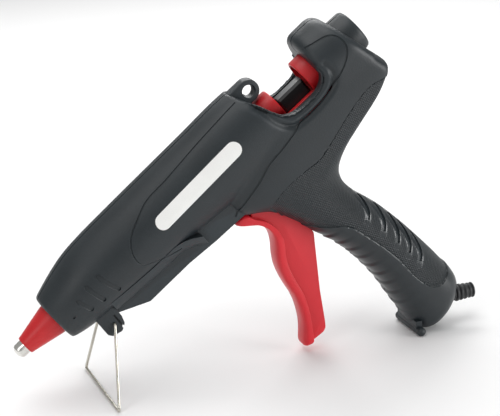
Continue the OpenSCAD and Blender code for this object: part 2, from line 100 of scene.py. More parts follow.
def look_from(pos, right, up):
    right = (world([right]) - ORIGIN)[0]
    up = (world([up]) - ORIGIN)[0]
    right, up = Vector(right).normalized(), Vector(up).normalized()
    back = right.cross(up).normalized()
    up = back.cross(right)
    m = Matrix((right, up, back)).transposed().to_4x4()
    m.translation = Vector(world([pos])[0])
    return m


camera = bpy.data.objects.new("camera", bpy.data.cameras.new("camera"))
bpy.context.scene.collection.objects.link(camera)
camera.matrix_world = look_from((85.557, -934.107, 429.379), (0.71656, -0.35035, -0.60316),
                                (0.69474, 0.28125, 0.66199))
camera.data.sensor_width = 36
camera.data.lens = 132.19
camera.data.clip_start = 0.05
bpy.context.scene.camera = camera
bpy.context.scene.view_settings.view_transform = "Standard"


def area_light(name, pos, target, size, power):
    lamp = bpy.data.lights.new(name, "AREA")
    lamp.shape = "RECTANGLE"
    lamp.size, lamp.size_y = size
    lamp.energy = power
    o = bpy.data.objects.new(name, lamp)
    o.location = pos
    o.rotation_euler = (Vector(target) - Vector(pos)).to_track_quat("-Z", "Y").to_euler()
    bpy.context.scene.collection.objects.link(o)


sky = bpy.data.worlds.new("studio")
sky.use_nodes = True
sky.node_tree.nodes["Background"].inputs["Color"].default_value = (1, 1, 1, 1)
sky.node_tree.nodes["Background"].inputs["Strength"].default_value = 0.36
bpy.context.scene.world = sky
area_light("top_light", (-0.15, 0.1, 1.2), (0, 0, 0.05), (1.3, 0.9), 9.5)
area_light("key_light", (1.0, -0.75, 0.25), (0.03, 0, 0.1), (0.6, 0.6), 8)
area_light("left_light", (-1.0, -0.7, 0.6), (-0.05, 0, 0.08), (0.3, 0.6), 2.2)
area_light("rim_light", (0.3, 0.9, 0.7), (0, 0, 0.12), (0.8, 0.3), 5)


# ---------------------------------------------------------------- materials

def node(tree, kind, **values):
    n = tree.nodes.new(kind)
    for key, value in values.items():
        if hasattr(n, key):
            setattr(n, key, value)
        else:
            n.inputs[key].default_value = value
    return n


def ramp(tree, source, low, high, a, b):
    """source from low..high as a value from a to b."""
    m = node(tree, "ShaderNodeMapRange")
    m.inputs["From Min"].default_value = low
    m.inputs["From Max"].default_value = high
    m.inputs["To Min"].default_value = a
    m.inputs["To Max"].default_value = b
    tree.links.new(source, m.inputs["Value"])
    return m.outputs["Result"]


def calc(tree, op, a, b=None):
    m = node(tree, "ShaderNodeMath", operation=op)
    for i, v in enumerate((a, b)):
        if v is None:
            continue
        if isinstance(v, (int, float)):
            m.inputs[i].default_value = v
        else:
            tree.links.new(v, m.inputs[i])
    return m.outputs[0]


def finish_material(name, colour, rough, metallic=0.0, grain=0.5, depth=0.02, tone=0.12, rough_var=0.06,
                    streak=None, specular=0.5, knurl=False, wear=0.0, sheen=0.0):
    """A procedural surface: fine grain of the given size and depth in mm, slow changes of tone and roughness,
    optional streaks along one axis, edge wear, and the housing's knurled and glossy areas."""
    m = bpy.data.materials.new(name)
    m.use_nodes = True
    t = m.node_tree
    shader = t.nodes["Principled BSDF"]
    shader.inputs["Metallic"].default_value = metallic
    shader.inputs["Specular IOR Level"].default_value = specular
    if sheen:
        shader.inputs["Sheen Weight"].default_value = sheen
        shader.inputs["Sheen Roughness"].default_value = 0.4
    place = node(t, "ShaderNodeTexCoord").outputs["Object"]
    if streak:
        stretch = node(t, "ShaderNodeMapping")
        stretch.inputs["Scale"].default_value = streak
        t.links.new(place, stretch.inputs["Vector"])
        grain_place = stretch.outputs["Vector"]
    else:
        grain_place = place
    fine = node(t, "ShaderNodeTexNoise")
    fine.inputs["Scale"].default_value = 1000 / grain
    fine.inputs["Detail"].default_value = 3
    t.links.new(grain_place, fine.inputs["Vector"])
    broad = node(t, "ShaderNodeTexNoise")
    broad.inputs["Scale"].default_value = 34
    broad.inputs["Detail"].default_value = 4
    t.links.new(place, broad.inputs["Vector"])
    fine_v, broad_v = fine.outputs["Fac"], broad.outputs["Fac"]
    # tone: slow variation, a little of the grain, and worn or dusty edges
    shade = ramp(t, broad_v, 0.3, 0.7, 1 - tone, 1 + tone)
    shade = calc(t, "MULTIPLY", shade, ramp(t, fine_v, 0.3, 0.7, 1 - tone * 0.6, 1 + tone * 0.6))
    if wear:
        edge = node(t, "ShaderNodeNewGeometry").outputs["Pointiness"]
        shade = calc(t, "MULTIPLY", shade, ramp(t, edge, 0.5, 0.6, 1, 1 + wear))
    tint = node(t, "ShaderNodeVectorMath", operation="SCALE")
    tint.inputs[0].default_value = colour
    t.links.new(shade, tint.inputs["Scale"])
    t.links.new(tint.outputs[0], shader.inputs["Base Color"])
    roughness = ramp(t, broad_v, 0.3, 0.7, rough - rough_var, rough + rough_var)
    height = calc(t, "MULTIPLY", fine_v, depth * 0.001)
    if knurl:
        area = node(t, "ShaderNodeAttribute", attribute_name="knurl").outputs["Fac"]
        gloss = node(t, "ShaderNodeAttribute", attribute_name="gloss").outputs["Fac"]
        split = node(t, "ShaderNodeSeparateXYZ")
        t.links.new(place, split.inputs[0])
        x, y, z = split.outputs
        k = 2 * math.pi / 0.0017
        side = calc(t, "MULTIPLY", y, 0.7)
        a = calc(t, "ADD", calc(t, "ADD", calc(t, "MULTIPLY", x, 0.94), calc(t, "MULTIPLY", z, 0.34)), side)
        b = calc(t, "ADD", calc(t, "SUBTRACT", calc(t, "MULTIPLY", z, 0.94), calc(t, "MULTIPLY", x, 0.34)), side)
        dots = calc(t, "MULTIPLY", calc(t, "SINE", calc(t, "MULTIPLY", a, k)),
                    calc(t, "SINE", calc(t, "MULTIPLY", b, k)))
        dots = calc(t, "MULTIPLY", calc(t, "MULTIPLY", dots, area), 0.0002)
        dull = calc(t, "SUBTRACT", 1, calc(t, "MULTIPLY", gloss, 0.8))
        height = calc(t, "ADD", calc(t, "MULTIPLY", height, dull), dots)
        roughness = calc(t, "SUBTRACT", roughness, calc(t, "MULTIPLY", gloss, 0.26))
    bump = node(t, "ShaderNodeBump")
    bump.inputs["Strength"].default_value = 1
    bump.inputs["Distance"].default_value = 1
    t.links.new(height, bump.inputs["Height"])
    t.links.new(bump.outputs["Normal"], shader.inputs["Normal"])
    t.links.new(roughness, shader.inputs["Roughness"])
    return m


MATS = {
    "housing": finish_material("housing_plastic", (0.0105, 0.0158, 0.0192), 0.47, grain=0.9, depth=0.07, tone=0.16,
                               knurl=True, wear=0.5, specular=0.55),
    "guide": finish_material("black_plastic", (0.018, 0.02, 0.022), 0.4, grain=0.5, depth=0.02, wear=0.4),
    "screws": finish_material("zinc_steel", (0.5, 0.51, 0.53), 0.32, metallic=1, grain=0.25, depth=0.006,
                              rough_var=0.1, wear=0.2),
    "tip_metal": finish_material("turned_aluminium", (0.8, 0.79, 0.75), 0.3, metallic=1, grain=0.3, depth=0.008,
                                 streak=(0.12, 1, 1), rough_var=0.1),
    "spring_steel": finish_material("spring_steel", (0.5, 0.5, 0.5), 0.28, metallic=1, grain=0.3, depth=0.004),
    "sleeve_red": finish_material("red_silicone", (0.56, 0.01, 0.014), 0.42, grain=0.7, depth=0.02, tone=0.06,
                                  sheen=0.08),
    "chamber_metal": finish_material("cast_aluminium", (0.52, 0.52, 0.5), 0.5, metallic=1, grain=0.8, depth=0.06),
    "mount_ring": finish_material("ring_moulding", (0.62, 0.55, 0.38), 0.6, grain=0.6, depth=0.03),
    "ceramic": finish_material("ceramic", (0.78, 0.76, 0.7), 0.7, grain=0.4, depth=0.03),
    "inlet_rubber": finish_material("inlet_silicone", (0.35, 0.03, 0.02), 0.5, grain=0.6, depth=0.02),
    "carriage_red": finish_material("carriage_plastic", (0.44, 0.009, 0.013), 0.4, grain=0.6, depth=0.02, tone=0.08,
                                    wear=0.5),
    "trigger_red": finish_material("trigger_plastic", (0.60, 0.010, 0.020), 0.38, grain=0.6, depth=0.014,
                                   tone=0.05, wear=0.18),
    "gripper": finish_material("gripper_plastic", (0.012, 0.012, 0.013), 0.3, grain=0.7, depth=0.02, wear=0.8),
    "stand_wire": finish_material("nickel_wire", (0.55, 0.53, 0.47), 0.2, metallic=1, grain=0.5, depth=0.01,
                                  tone=0.25, rough_var=0.1),
    "relief_rubber": finish_material("relief_rubber", (0.02, 0.021, 0.023), 0.5, grain=0.5, depth=0.03, wear=0.5),
    "white_plastic": finish_material("white_print", (0.86, 0.86, 0.84), 0.45, grain=0.5, depth=0.01, tone=0.03),
    "lead_brown": finish_material("brown_insulation", (0.16, 0.06, 0.02), 0.45, grain=0.6, depth=0.02),
    "lead_blue": finish_material("blue_insulation", (0.03, 0.09, 0.32), 0.45, grain=0.6, depth=0.02),
}

# the CAD nodes that stay take their slot's finish
for part in frame["record"]["subparts"]:
    keep = frame["nodes"][part["node"]]
    finish = MATS.get(part["material_slot"], MATS["guide"])
    if not keep.data.materials:
        keep.data.materials.append(finish)
    for i in range(len(keep.data.materials)):
        keep.data.materials[i] = finish


# ---------------------------------------------------------------- mesh tools

def link(name, data):
    o = bpy.data.objects.new(name, data)
    bpy.context.scene.collection.objects.link(o)
    return o


def mesh_points(o):
    """The vertices of an object, in metres."""
    co = np.empty(len(o.data.vertices) * 3)
    o.data.vertices.foreach_get("co", co)
    return co.reshape(-1, 3)


def mesh_normals(o):
    no = np.empty(len(o.data.vertices) * 3, np.float32)
    o.data.vertices.foreach_get("normal", no)
    return no.reshape(-1, 3)


def solid(name, points, faces):
    """An object from barrel-frame points, with its faces turned outwards."""
    mesh = bpy.data.meshes.new(name)
    mesh.from_pydata([tuple(p) for p in world(points)], [], [tuple(f) for f in faces])
    bm = bmesh.new()
    bm.from_mesh(mesh)
    bmesh.ops.recalc_face_normals(bm, faces=bm.faces)
    bm.to_mesh(mesh)
    bm.free()
    return link(name, mesh)


def drop(o):
    bpy.data.objects.remove(o, do_unlink=True)


def bake(o):
    """Applies an object's modifiers."""
    bpy.context.view_layer.update()
    mesh = bpy.data.meshes.new_from_object(o.evaluated_get(bpy.context.evaluated_depsgraph_get()))
    o.modifiers.clear()
    o.data = mesh
    return o


def merge(name, objects):
    """Several objects as one, each still its own shell."""
    verts, faces, base = [], [], 0
    for o in objects:
        verts += [tuple(v.co) for v in o.data.vertices]
        faces += [tuple(base + i for i in p.vertices) for p in o.data.polygons]
        base += len(o.data.vertices)
        drop(o)
    mesh = bpy.data.meshes.new(name)
    mesh.from_pydata(verts, [], faces)
    return link(name, mesh)


def boolean(a, b, operation, keep_b=False):
    before = (len(a.data.vertices), len(a.data.polygons))
    for solver in ("MANIFOLD", "EXACT"):
        mod = a.modifiers.new("cut", "BOOLEAN")
        mod.operation, mod.solver, mod.object = operation, solver, b
        bpy.context.view_layer.update()
        mesh = bpy.data.meshes.new_from_object(a.evaluated_get(bpy.context.evaluated_depsgraph_get()))
        a.modifiers.clear()
        if len(mesh.vertices) and (len(mesh.vertices), len(mesh.polygons)) != before:
            a.data = mesh
            break
        print("boolean", a.name, b.name, operation, solver, "did nothing")
    if not keep_b:
        drop(b)
    return a


def remesh(o, size, rounds):
    """Fuses shells that overlap, then smooths."""
    mod = o.modifiers.new("fuse", "REMESH")
    mod.mode, mod.voxel_size, mod.use_smooth_shade = "VOXEL", size * 0.001, True
    if rounds:
        soft = o.modifiers.new("soften", "SMOOTH")
        soft.factor, soft.iterations = 0.5, rounds
    return bake(o)


def rings_solid(name, rings):
    """A closed solid from equal rings of barrel-frame points."""
    n = len(rings[0])
    faces = [list(range(n)), list(range((len(rings) - 1) * n, len(rings) * n))[::-1]]
    for i in range(len(rings) - 1):
        for k in range(n):
            faces.append([i * n + k, i * n + (k + 1) % n, (i + 1) * n + (k + 1) % n, (i + 1) * n + k])
    return solid(name, np.concatenate(rings), faces)


def revolve(name, profile, start=(0, 0, 0), axis=(1, 0, 0), sides=96):
    """A closed profile of (distance along axis, radius) turned about axis. Radii of 0 close the solid."""
    start, axis = np.array(start, float), np.array(axis, float)
    axis /= np.linalg.norm(axis)
    side = np.cross(axis, [0, 1, 0] if abs(axis[1]) < 0.9 else [1, 0, 0])
    side /= np.linalg.norm(side)
    other = np.cross(axis, side)
    angles = np.linspace(0, 2 * math.pi, sides, endpoint=False)
    verts, faces, rows = [], [], []
    for along, r in profile:
        if r <= 1e-6:
            rows.append([len(verts)] * sides)
            verts.append(start + axis * along)
        else:
            rows.append(list(range(len(verts), len(verts) + sides)))
            verts += [start + axis * along + r * (math.cos(a) * side + math.sin(a) * other) for a in angles]
    closed = profile[0][1] > 1e-6
    count = len(profile) if closed else len(profile) - 1
    for i in range(count):
        p, q = rows[i], rows[(i + 1) % len(rows)]
        for k in range(sides):
            f = [p[k], p[(k + 1) % sides], q[(k + 1) % sides], q[k]]
            f = [v for j, v in enumerate(f) if v != f[j - 1]]
            if len(f) > 2:
                faces.append(f)
    return solid(name, np.array(verts), faces)


def rounded(points, radius, steps=5):
    """A closed outline with every corner rounded, radius one number or one for each corner."""
    p = np.array(points, float)
    n, out = len(p), []
    radii = [radius] * n if isinstance(radius, (int, float)) else radius
    for i in range(n):
        a, b, c = p[i - 1], p[i], p[(i + 1) % n]
        d0, d1 = a - b, c - b
        l0, l1 = np.linalg.norm(d0), np.linalg.norm(d1)
        d0, d1 = d0 / l0, d1 / l1
        half = math.acos(max(-1, min(1, float(d0 @ d1)))) / 2
        if radii[i] <= 0 or half > 1.54:
            out.append(b)
            continue
        reach = min(radii[i] / math.tan(half), 0.48 * l0, 0.48 * l1)
        s, e = b + d0 * reach, b + d1 * reach
        for t in np.linspace(0, 1, steps):
            out.append((1 - t) ** 2 * s + 2 * t * (1 - t) * b + t * t * e)
    return np.array(out)


def smooth_line(points, step=1.0):
    """Points about step apart on a smooth curve through the given ones."""
    p = np.array(points, float)
    n = len(p)
    out = []
    for i in range(n - 1):
        a, b, c, d = p[max(i - 1, 0)], p[i], p[i + 1], p[min(i + 2, n - 1)]
        l0, l1, l2 = (max(np.linalg.norm(v), 1e-6) for v in (b - a, c - b, d - c))
        t0 = (c - a) / (l0 + l1) * l1 if i else c - b
        t1 = (d - b) / (l1 + l2) * l1 if i < n - 2 else c - b
        count = max(2, int(round(l1 / step)))
        for k in range(count):
            s = k / count
            h = (2 * s ** 3 - 3 * s ** 2 + 1, s ** 3 - 2 * s ** 2 + s, -2 * s ** 3 + 3 * s ** 2, s ** 3 - s ** 2)
            out.append(h[0] * b + h[1] * t0 + h[2] * c + h[3] * t1)
    out.append(p[-1])
    return np.array(out)


def even(points, count):
    """count points, evenly spaced along a line."""
    p = np.array(points, float)
    d = np.concatenate([[0], np.cumsum(np.linalg.norm(np.diff(p, axis=0), axis=1))])
    s = np.linspace(0, d[-1], count)
    return np.stack([np.interp(s, d, p[:, i]) for i in range(p.shape[1])], 1)


def prism(name, outline, half, y=0.0, edge=0.0, steps=4):
    """An outline in u and w, from y - half to y + half, with its rims rounded by edge."""
    p = np.array(outline, float)
    if not edge:
        rings = [np.insert(p, 1, y + s * half, axis=1) for s in (-1, 1)]
        return rings_solid(name, rings)
    area = 0.5 * np.sum(p[:, 0] * np.roll(p[:, 1], -1) - np.roll(p[:, 0], -1) * p[:, 1])
    t = np.roll(p, -1, 0) - np.roll(p, 1, 0)
    t /= np.maximum(np.linalg.norm(t, axis=1, keepdims=True), 1e-9)
    inward = np.stack([-t[:, 1], t[:, 0]], 1) * (1 if area > 0 else -1)
    rings = []
    for s in (-1, 1):
        turns = np.linspace(math.pi / 2, 0, steps) if s < 0 else np.linspace(0, math.pi / 2, steps)
        for a in turns:
            q = p + inward * edge * (1 - math.cos(a))
            rings.append(np.insert(q, 1, y + s * (half - edge * (1 - math.sin(a))), axis=1))
    return rings_solid(name, rings)


def tube(name, path, r, sides=12, normals=None, section=None, round_ends=0.0):
    """A round or shaped bar along barrel-frame points, section giving its (sideways, outwards) offsets."""
    p = np.array(path, float)
    t = np.gradient(p, axis=0)
    t /= np.linalg.norm(t, axis=1, keepdims=True)
    if normals is None:
        ref = np.array([0.02, 1, 0.01])
        side = np.cross(t, ref)
        bad = np.linalg.norm(side, axis=1) < 0.2
        side[bad] = np.cross(t[bad], [1, 0, 0.3])
    else:
        side = np.cross(t, normals)
    side /= np.linalg.norm(side, axis=1, keepdims=True)
    out = np.cross(side, t)
    if section is None:
        angles = np.linspace(0, 2 * math.pi, sides, endpoint=False)
        section = [(r * math.cos(a), r * math.sin(a)) for a in angles]
    along = np.concatenate([[0], np.cumsum(np.linalg.norm(np.diff(p, axis=0), axis=1))])
    rings = []
    for i in range(len(p)):
        near = min(along[i], along[-1] - along[i])
        over = max(0.0, 1 - near / round_ends) if round_ends else 0.0
        narrow = math.sqrt(max(0.03, 1 - over * over))
        rings.append(np.array([p[i] + a * narrow * side[i] + b * out[i] for a, b in section]))
    return rings_solid(name, rings)


def round_bar(name, p, q, r, sides=48):
    d = np.array(q, float) - np.array(p, float)
    return revolve(name, [(0, 0), (0, r), (np.linalg.norm(d), r), (np.linalg.norm(d), 0)], p, d, sides)


def cross_bar(name, at, y0, y1, r, sides=48):
    """A round bar across the gun at u and w."""
    return round_bar(name, (at[0], y0, at[1]), (at[0], y1, at[1]), r, sides)


def shade(o, angle=32):
    """Smooth shading that keeps edges sharper than angle."""
    for poly in o.data.polygons:
        poly.use_smooth = True
    o.data.set_sharp_from_angle(angle=math.radians(angle))
    return o


def place(o, body, slot, *nodes, angle=32, material=None):
    o.data.materials.clear()
    o.data.materials.append(MATS[material or slot])
    shade(o, angle)
    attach(o, body)
    if nodes:
        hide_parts(*nodes)
    return o


# ---------------------------------------------------------------- housing

WALL = 2.4
# rows of u, centre w, rise, drop, half width, squareness along the barrel
BARREL = [(28.5, 0, 14.4, 14.4, 14.4, 2), (29.5, 0, 15.3, 15.2, 15.3, 2), (35, 0.4, 16.8, 17, 17.3, 2),
          (45, 0.8, 19.4, 18.8, 19.6, 2), (56, 1, 21.8, 19.5, 20.9, 2), (70, 1.2, 22.9, 20.4, 21.6, 2),
          (90, 1.2, 23.4, 21.2, 22.2, 2), (120, 1.4, 23.7, 22.8, 22.2, 2), (150, 1.6, 23.8, 25.6, 22.2, 2.05),
          (172, 1.8, 24.1, 28, 22.2, 2.1), (184, 1.8, 23.8, 28, 22.2, 2.1), (206, 2, 22, 28, 22.2, 2.2)]
# rows of w, front u, rear u, half width, squareness, depth of the rear corners down the shoulder and grip
GRIP = [(6, 176, 254.2, 21.6, 3, 8), (-8, 152, 258.6, 21.9, 3.2, 8), (-18, 144, 261.8, 21.8, 3.2, 8),
        (-23, 141, 262.6, 21.5, 3.2, 8), (-27.5, 141.4, 258.8, 21, 3.1, 9), (-32.5, 143.4, 250.6, 20.4, 2.8, 12),
        (-38, 150.4, 236, 19.8, 2.6, 20), (-43, 156, 222, 19.3, 2.5, 26), (-48.5, 159.2, 210.8, 18.9, 2.4, 25),
        (-54, 161.6, 204.4, 18.5, 2.4, 21.4), (-61, 164.4, 201.6, 18.1, 2.4, 18.6),
        (-68, 167, 201.8, 17.8, 2.4, 17.4), (-76, 169.2, 203.6, 17.6, 2.4, 17.2), (-90, 173.6, 208, 18, 2.4, 17.2),
        (-108, 176.9, 211.4, 18, 2.4, 17.25), (-126, 177.7, 213.6, 18, 2.4, 17.95), (-142, 176.4, 215, 18, 2.4, 19.3),
        (-156, 175.6, 215.2, 17.6, 2.4, 19.8), (-163, 175.4, 213.6, 16.8, 2.4, 19.1),
        (-168.5, 176.3, 208.5, 15, 2.3, 16.1), (-172.5, 179, 201, 11.5, 2.2, 11), (-174.2, 184, 194, 6.5, 2, 5)]
HEAD_R, HEAD_FRONT = 22.9, 228.8
HEAD_EDGE = [(0, 5.4), (0.15, 4.2), (0.5, 3.2), (1.0, 2.2), (1.6, 1.5), (2.4, 0.85), (3.4, 0.4), (4.6, 0.12), (6, 0)]
BAY = [(178.5, 46), (178.5, 40), (182, 28.4), (186, 21.4), (190.4, 15), (194.4, 6.2), (197.4, 0.8), (200.2, -1.8),
       (203.3, -3.1), (208, -4), (217.5, -3.9), (220.8, -3.4), (224.3, -2), (226.8, 0.2), (228.3, 2.9),
       (228.4, 6.4)]
# the hollow outside the bay's rolled lip
VALLEY = [(188, 15), (190.2, 8.8), (192.2, 0.9), (195.2, -5.2), (199, -8.2), (205.5, -9.1), (210.6, -9.4),
          (216.2, -9.2), (220, -8.8), (225.2, -7.8), (229.6, -6), (232.6, -3), (233.8, 1), (233.2, 6)]
EYE, EYE_R, EYE_HOLE = (193.6, 18.4), 6.7, MOUNTS["hanging_eye"]["dims"]["r_mm"]
TRIGGER_PIVOT = (158, -31.5)
STAND_PIVOT = (50.5, -22.3)
DRIVE_RISE, HALF_SWING = 20.5, math.radians(10)
DRIVE = np.array([TRIGGER_PIVOT[0] + DRIVE_RISE * math.tan(HALF_SWING), TRIGGER_PIVOT[1] + DRIVE_RISE])
RELIEF_BASE, RELIEF_AXIS = np.array([206.9, 0, -172.5]), np.array([U[0], 0, -U[2]])
SCREWS = [(66, 17.4), (82, -24), (126, -24.5), (168, 18.4), (250, -20), (194.5, -62), (205.5, -122), (183.5, -143)]
SCREW_HEAD_Y = 9


def ring(row, upright, inset, sides):
    a = 2 * math.pi * (np.arange(sides) + 0.5) / sides
    n = row[5 if upright else 4]
    c = np.sign(np.cos(a)) * np.abs(np.cos(a)) ** (2 / n)
    s = np.sign(np.sin(a)) * np.abs(np.sin(a)) ** (2 / n)
    if upright:
        rise = np.where(s > 0, row[2] - inset, row[3] - inset)
        return np.stack([np.full(sides, row[0]), (row[4] - inset) * c, row[1] + rise * s], 1)
    half = (row[2] - row[1]) / 2
    u = np.where(c > 0, row[2] - row[5] + (row[5] - inset) * c, row[1] + half + (half - inset) * c)
    return np.stack([u, -(row[3] - inset) * s, np.full(sides, row[0])], 1)


def body_loft(name, rows, upright, inset=0.0, sides=96, step=2.0):
    fine = smooth_line(rows, step)
    order = fine[:, 0] if upright else -fine[:, 0]
    fine = fine[np.argsort(order, kind="stable")]
    return rings_solid(name, [ring(r, upright, inset, sides) for r in fine])


def head(name, front, rear):
    """Round above and straight below, with a sloping rear face. front and rear are (distance, inset) pairs."""
    def section(inset):
        a = np.linspace(0, math.pi, 61)
        r = HEAD_R - inset
        top = np.stack([r * np.cos(a), r * np.sin(a)], 1)
        return np.vstack([[(r - 1 + t, -12 + 12 * t) for t in (0, 0.25, 0.5, 0.75)], top,
                          [(-(r - t), -12 * t) for t in (0.25, 0.5, 0.75, 1)]])
    rings = []
    for d, inset in front:
        q = section(inset)
        rings.append(np.insert(q, 0, HEAD_FRONT + d, axis=1))
    for d, inset in rear[::-1]:
        q = section(inset)
        rings.append(np.insert(q, 0, 256 - 0.287 * q[:, 1] - d, axis=1))
    return rings_solid(name, rings)


def keel(name, half, inset):
    outline = [(54, -12), (57.4 + 2 * inset, -20.4 + inset), (73.6, -28.9 + inset), (104, -28.9 + inset),
               (124, -30.5 + inset), (146 - inset, -31.2 + inset), (146 - inset, -12)]
    return prism(name, outline, half - inset)


def keel_crest(name):
    return prism(name, [(54, -12), (56.4, -21.4), (72.4, -29.6), (104, -29.7), (124, -31.2), (146, -31.7),
                        (146, -12)], 8.5)


# u and w of the ridge where the barrel's side overhangs the keel
KEEL_RIDGE = [(57, -17.8), (65, -18.7), (73, -19.3), (88, -20.2), (97.5, -20.3), (106.3, -20.8), (113.3, -23.4),
              (119.5, -27.6)]


def keel_ridge(side):
    section = [(17.6, 8), (15.7, 4), (13.6, 1.25), (12.4, 0.3), (11.7, 0), (11, 0.3), (10.5, 1.2), (9.6, 8)]
    return rings_solid("keel_ridge", [np.array([(u, side * y, w + up) for y, up in section])
                                      for u, w in smooth_line(KEEL_RIDGE, 1.0)])


def relax(o, where, rounds):
    """Smooths an area, given as (u, w, radius) spots, before anything crisp is added."""
    p = local(mesh_points(o))
    weight = np.zeros(len(p))
    for u, w, r in where:
        weight = np.maximum(weight, np.clip(1.6 - 1.6 * np.hypot(p[:, 0] - u, p[:, 2] - w) / r, 0, 1))
    group = o.vertex_groups.new(name="soft")
    for level in range(1, 11):
        chosen = np.nonzero(np.round(weight * 10) == level)[0]
        group.add([int(i) for i in chosen], level / 10, "REPLACE")
    mod = o.modifiers.new("soften", "SMOOTH")
    mod.factor, mod.iterations, mod.vertex_group = 0.5, rounds, "soft"
    bake(o)
    o.vertex_groups.clear()
    return o


def outer_solid():
    body = remesh(merge("housing", [body_loft("barrel", BARREL, True), body_loft("grip", GRIP, False),
                                    head("head", HEAD_EDGE, HEAD_EDGE)]), 0.85, 3)
    relax(body, [(188, -6, 34), (160, -22, 30), (232, -10, 22), (215, -22, 26)], 24)
    # the bay is cut before the second softening, so that its rims come out round
    bay = rounded(BAY + [(228.4, 46)], [0] * 3 + [2] * 12 + [0, 0])
    body = remesh(boolean(body, prism("bay", bay, 60), "DIFFERENCE"), 0.8, 5)
    # crisp additions
    boolean(body, revolve("boss", [(246, 0), (246, 13.1), (252, 13.1), (260.6, 12.85), (261.9, 12.5), (262.7, 11.9),
                                   (263, 11.2), (263, 0)]), "UNION")
    boolean(body, keel("keel", 11, 0), "UNION")
    boolean(body, keel_crest("keel_crest"), "UNION")
    for side in (-1, 1):
        boolean(body, keel_ridge(side), "UNION")
        cheek = [(44.2, -12), (43.4, -25.2), (45, -27.8), (50.8, -29.4), (54.9, -26.8), (56.4, -22.4), (57.4, -12)]
        lug = prism("stand_lug", even(np.vstack([rounded(cheek, 1.6), [cheek[0]]]), 90)[:-1], 4.4, side * 8.4,
                    edge=0.7)
        # the wire's leg comes out beside a slot
        slot = prism("lug_slot", [(53.1, -18.5), (54.1, -18.5), (53, -34), (51.8, -34)], 2, side * 12)
        boolean(lug, slot, "DIFFERENCE")
        boolean(body, lug, "UNION")
    return body


def eye_plate():
    eye = [(EYE[0] + EYE_R * math.cos(a), EYE[1] + EYE_R * math.sin(a))
           for a in np.linspace(-math.pi / 2, math.pi / 2, 24)]
    outline = [(174, 11.7)] + eye + [(174, EYE[1] + EYE_R)]
    return prism("eye", even(np.array(outline + [outline[0]]), 120)[:-1], 3.5, edge=0.9)


PANEL = [(183.1, 22.7), (173.8, 22.5), (149.9, 21.2), (125.7, 19.5), (109.9, 18.7), (99.6, 15.6), (89.7, 11.2),
         (84.4, 4.3), (84.1, -3.9), (92.4, -10.2), (99.8, -14.2), (106.5, -16.6)]
# the crease that runs around the head's band, under the bay's lip and down to the trigger
SEAM_FRONT = [(232, 18.2), (235.8, 17.5), (240.6, 16.7), (244.5, 15.8), (247.5, 14), (249.2, 11), (249.3, 7),
              (247.3, 3.3), (243.8, 0), (239.5, -2.5), (234.5, -4.6), (229.6, -6.4), (225.2, -8), (220, -9),
              (216.2, -9.4), (210.6, -9.6), (205.5, -9.5), (201.3, -9.2), (196.9, -10.4), (192, -11.4),
              (184, -12.9), (173.5, -14.4), (163.8, -18.5), (153, -22.2), (144.5, -25.8), (140.5, -28)]
SEAM_REAR = [(258.2, -27.6), (254.2, -25.8), (246.8, -23.3), (238.8, -23.4), (229.4, -25.4), (216.9, -29.1),
             (206.4, -32.4), (196.6, -34.8), (185.7, -33.7), (174.2, -33.4), (164.8, -35.3), (157.8, -39)]
GRIP_LINE = [(170.5, -67.9), (177.5, -74), (182.4, -77.8), (185.9, -83.4), (189, -94.5), (191.7, -106.3),
             (193.7, -119.1), (194, -131.1), (195, -140.3), (197.9, -148.1), (203.2, -152), (209.1, -151.9),
             (214.5, -150)]
VENTS = [[(62, 9.8), (64, 0.9), (66.3, -6.8)], [(53.6, 9.6), (54.7, 1.6), (56.3, -5.2)],
         [(44.7, 6.5), (46.6, 0.1), (47.8, -4.5)], [(37.2, 0.6), (37.6, -1)]]
SCALES = [[(203, -72.5), (202.5, -76.5), (201.6, -79.7), (199.6, -83.4), (196, -86.6)],
          [(206.9, -84.5), (206.2, -88.2), (204.3, -92.7), (201.9, -96.7), (198.4, -99.4)],
          [(209, -95.5), (208.3, -99.2), (206.6, -103.8), (203.6, -108.5), (200, -111.5)],
          [(210, -106), (209.3, -109.9), (207.6, -114.7), (205, -118.9), (201.3, -121.5)],
          [(211.4, -117), (210.4, -120.7), (208.8, -124.8), (206.7, -128.3), (203, -131.1)]]


def inside(points, outline):
    """Which (u, w) points lie inside a closed outline."""
    x, z = points[:, 0], points[:, 1]
    hit = np.zeros(len(points), bool)
    poly = np.array(outline, float)
    for (x0, z0), (x1, z1) in zip(poly, np.roll(poly, -1, 0)):
        if z0 == z1:
            continue
        cross = (z0 > z) != (z1 > z)
        hit ^= cross & (x < (x1 - x0) * (z - z0) / (z1 - z0) + x0)
    return hit


def line_distance(points, line):
    best = np.full(len(points), 1e9)
    for a, b in zip(line[:-1], line[1:]):
        d = b - a
        t = np.clip(((points - a) @ d) / max(float(d @ d), 1e-9), 0, 1)
        best = np.minimum(best, np.linalg.norm(points - a - t[:, None] * d, axis=1))
    return best


KNURL_AREA = SEAM_REAR + [(163.5, -62), (170.5, -67.9)] + GRIP_LINE[1:] + [(240, -150), (275, -60), (275, -24)]


def surface_line(tree, line, side, step=0.8, least=0.004):
    """Points and outward normals where a line drawn from the side meets the surface."""
    hits, normals = [], []
    for u, w in smooth_line(line, step):
        start = Vector(world([(u, side * 70, w)])[0])
        hit, normal, _, _ = tree.ray_cast(start, Vector((0, -side, 0)))
        if hit is not None and hit.y * side > least:
            hits.append(local([hit])[0])
            n = (local([np.array(hit) + np.array(normal)]) - local([hit]))[0]
            normals.append(n / np.linalg.norm(n))
    return np.array(hits), np.array(normals)


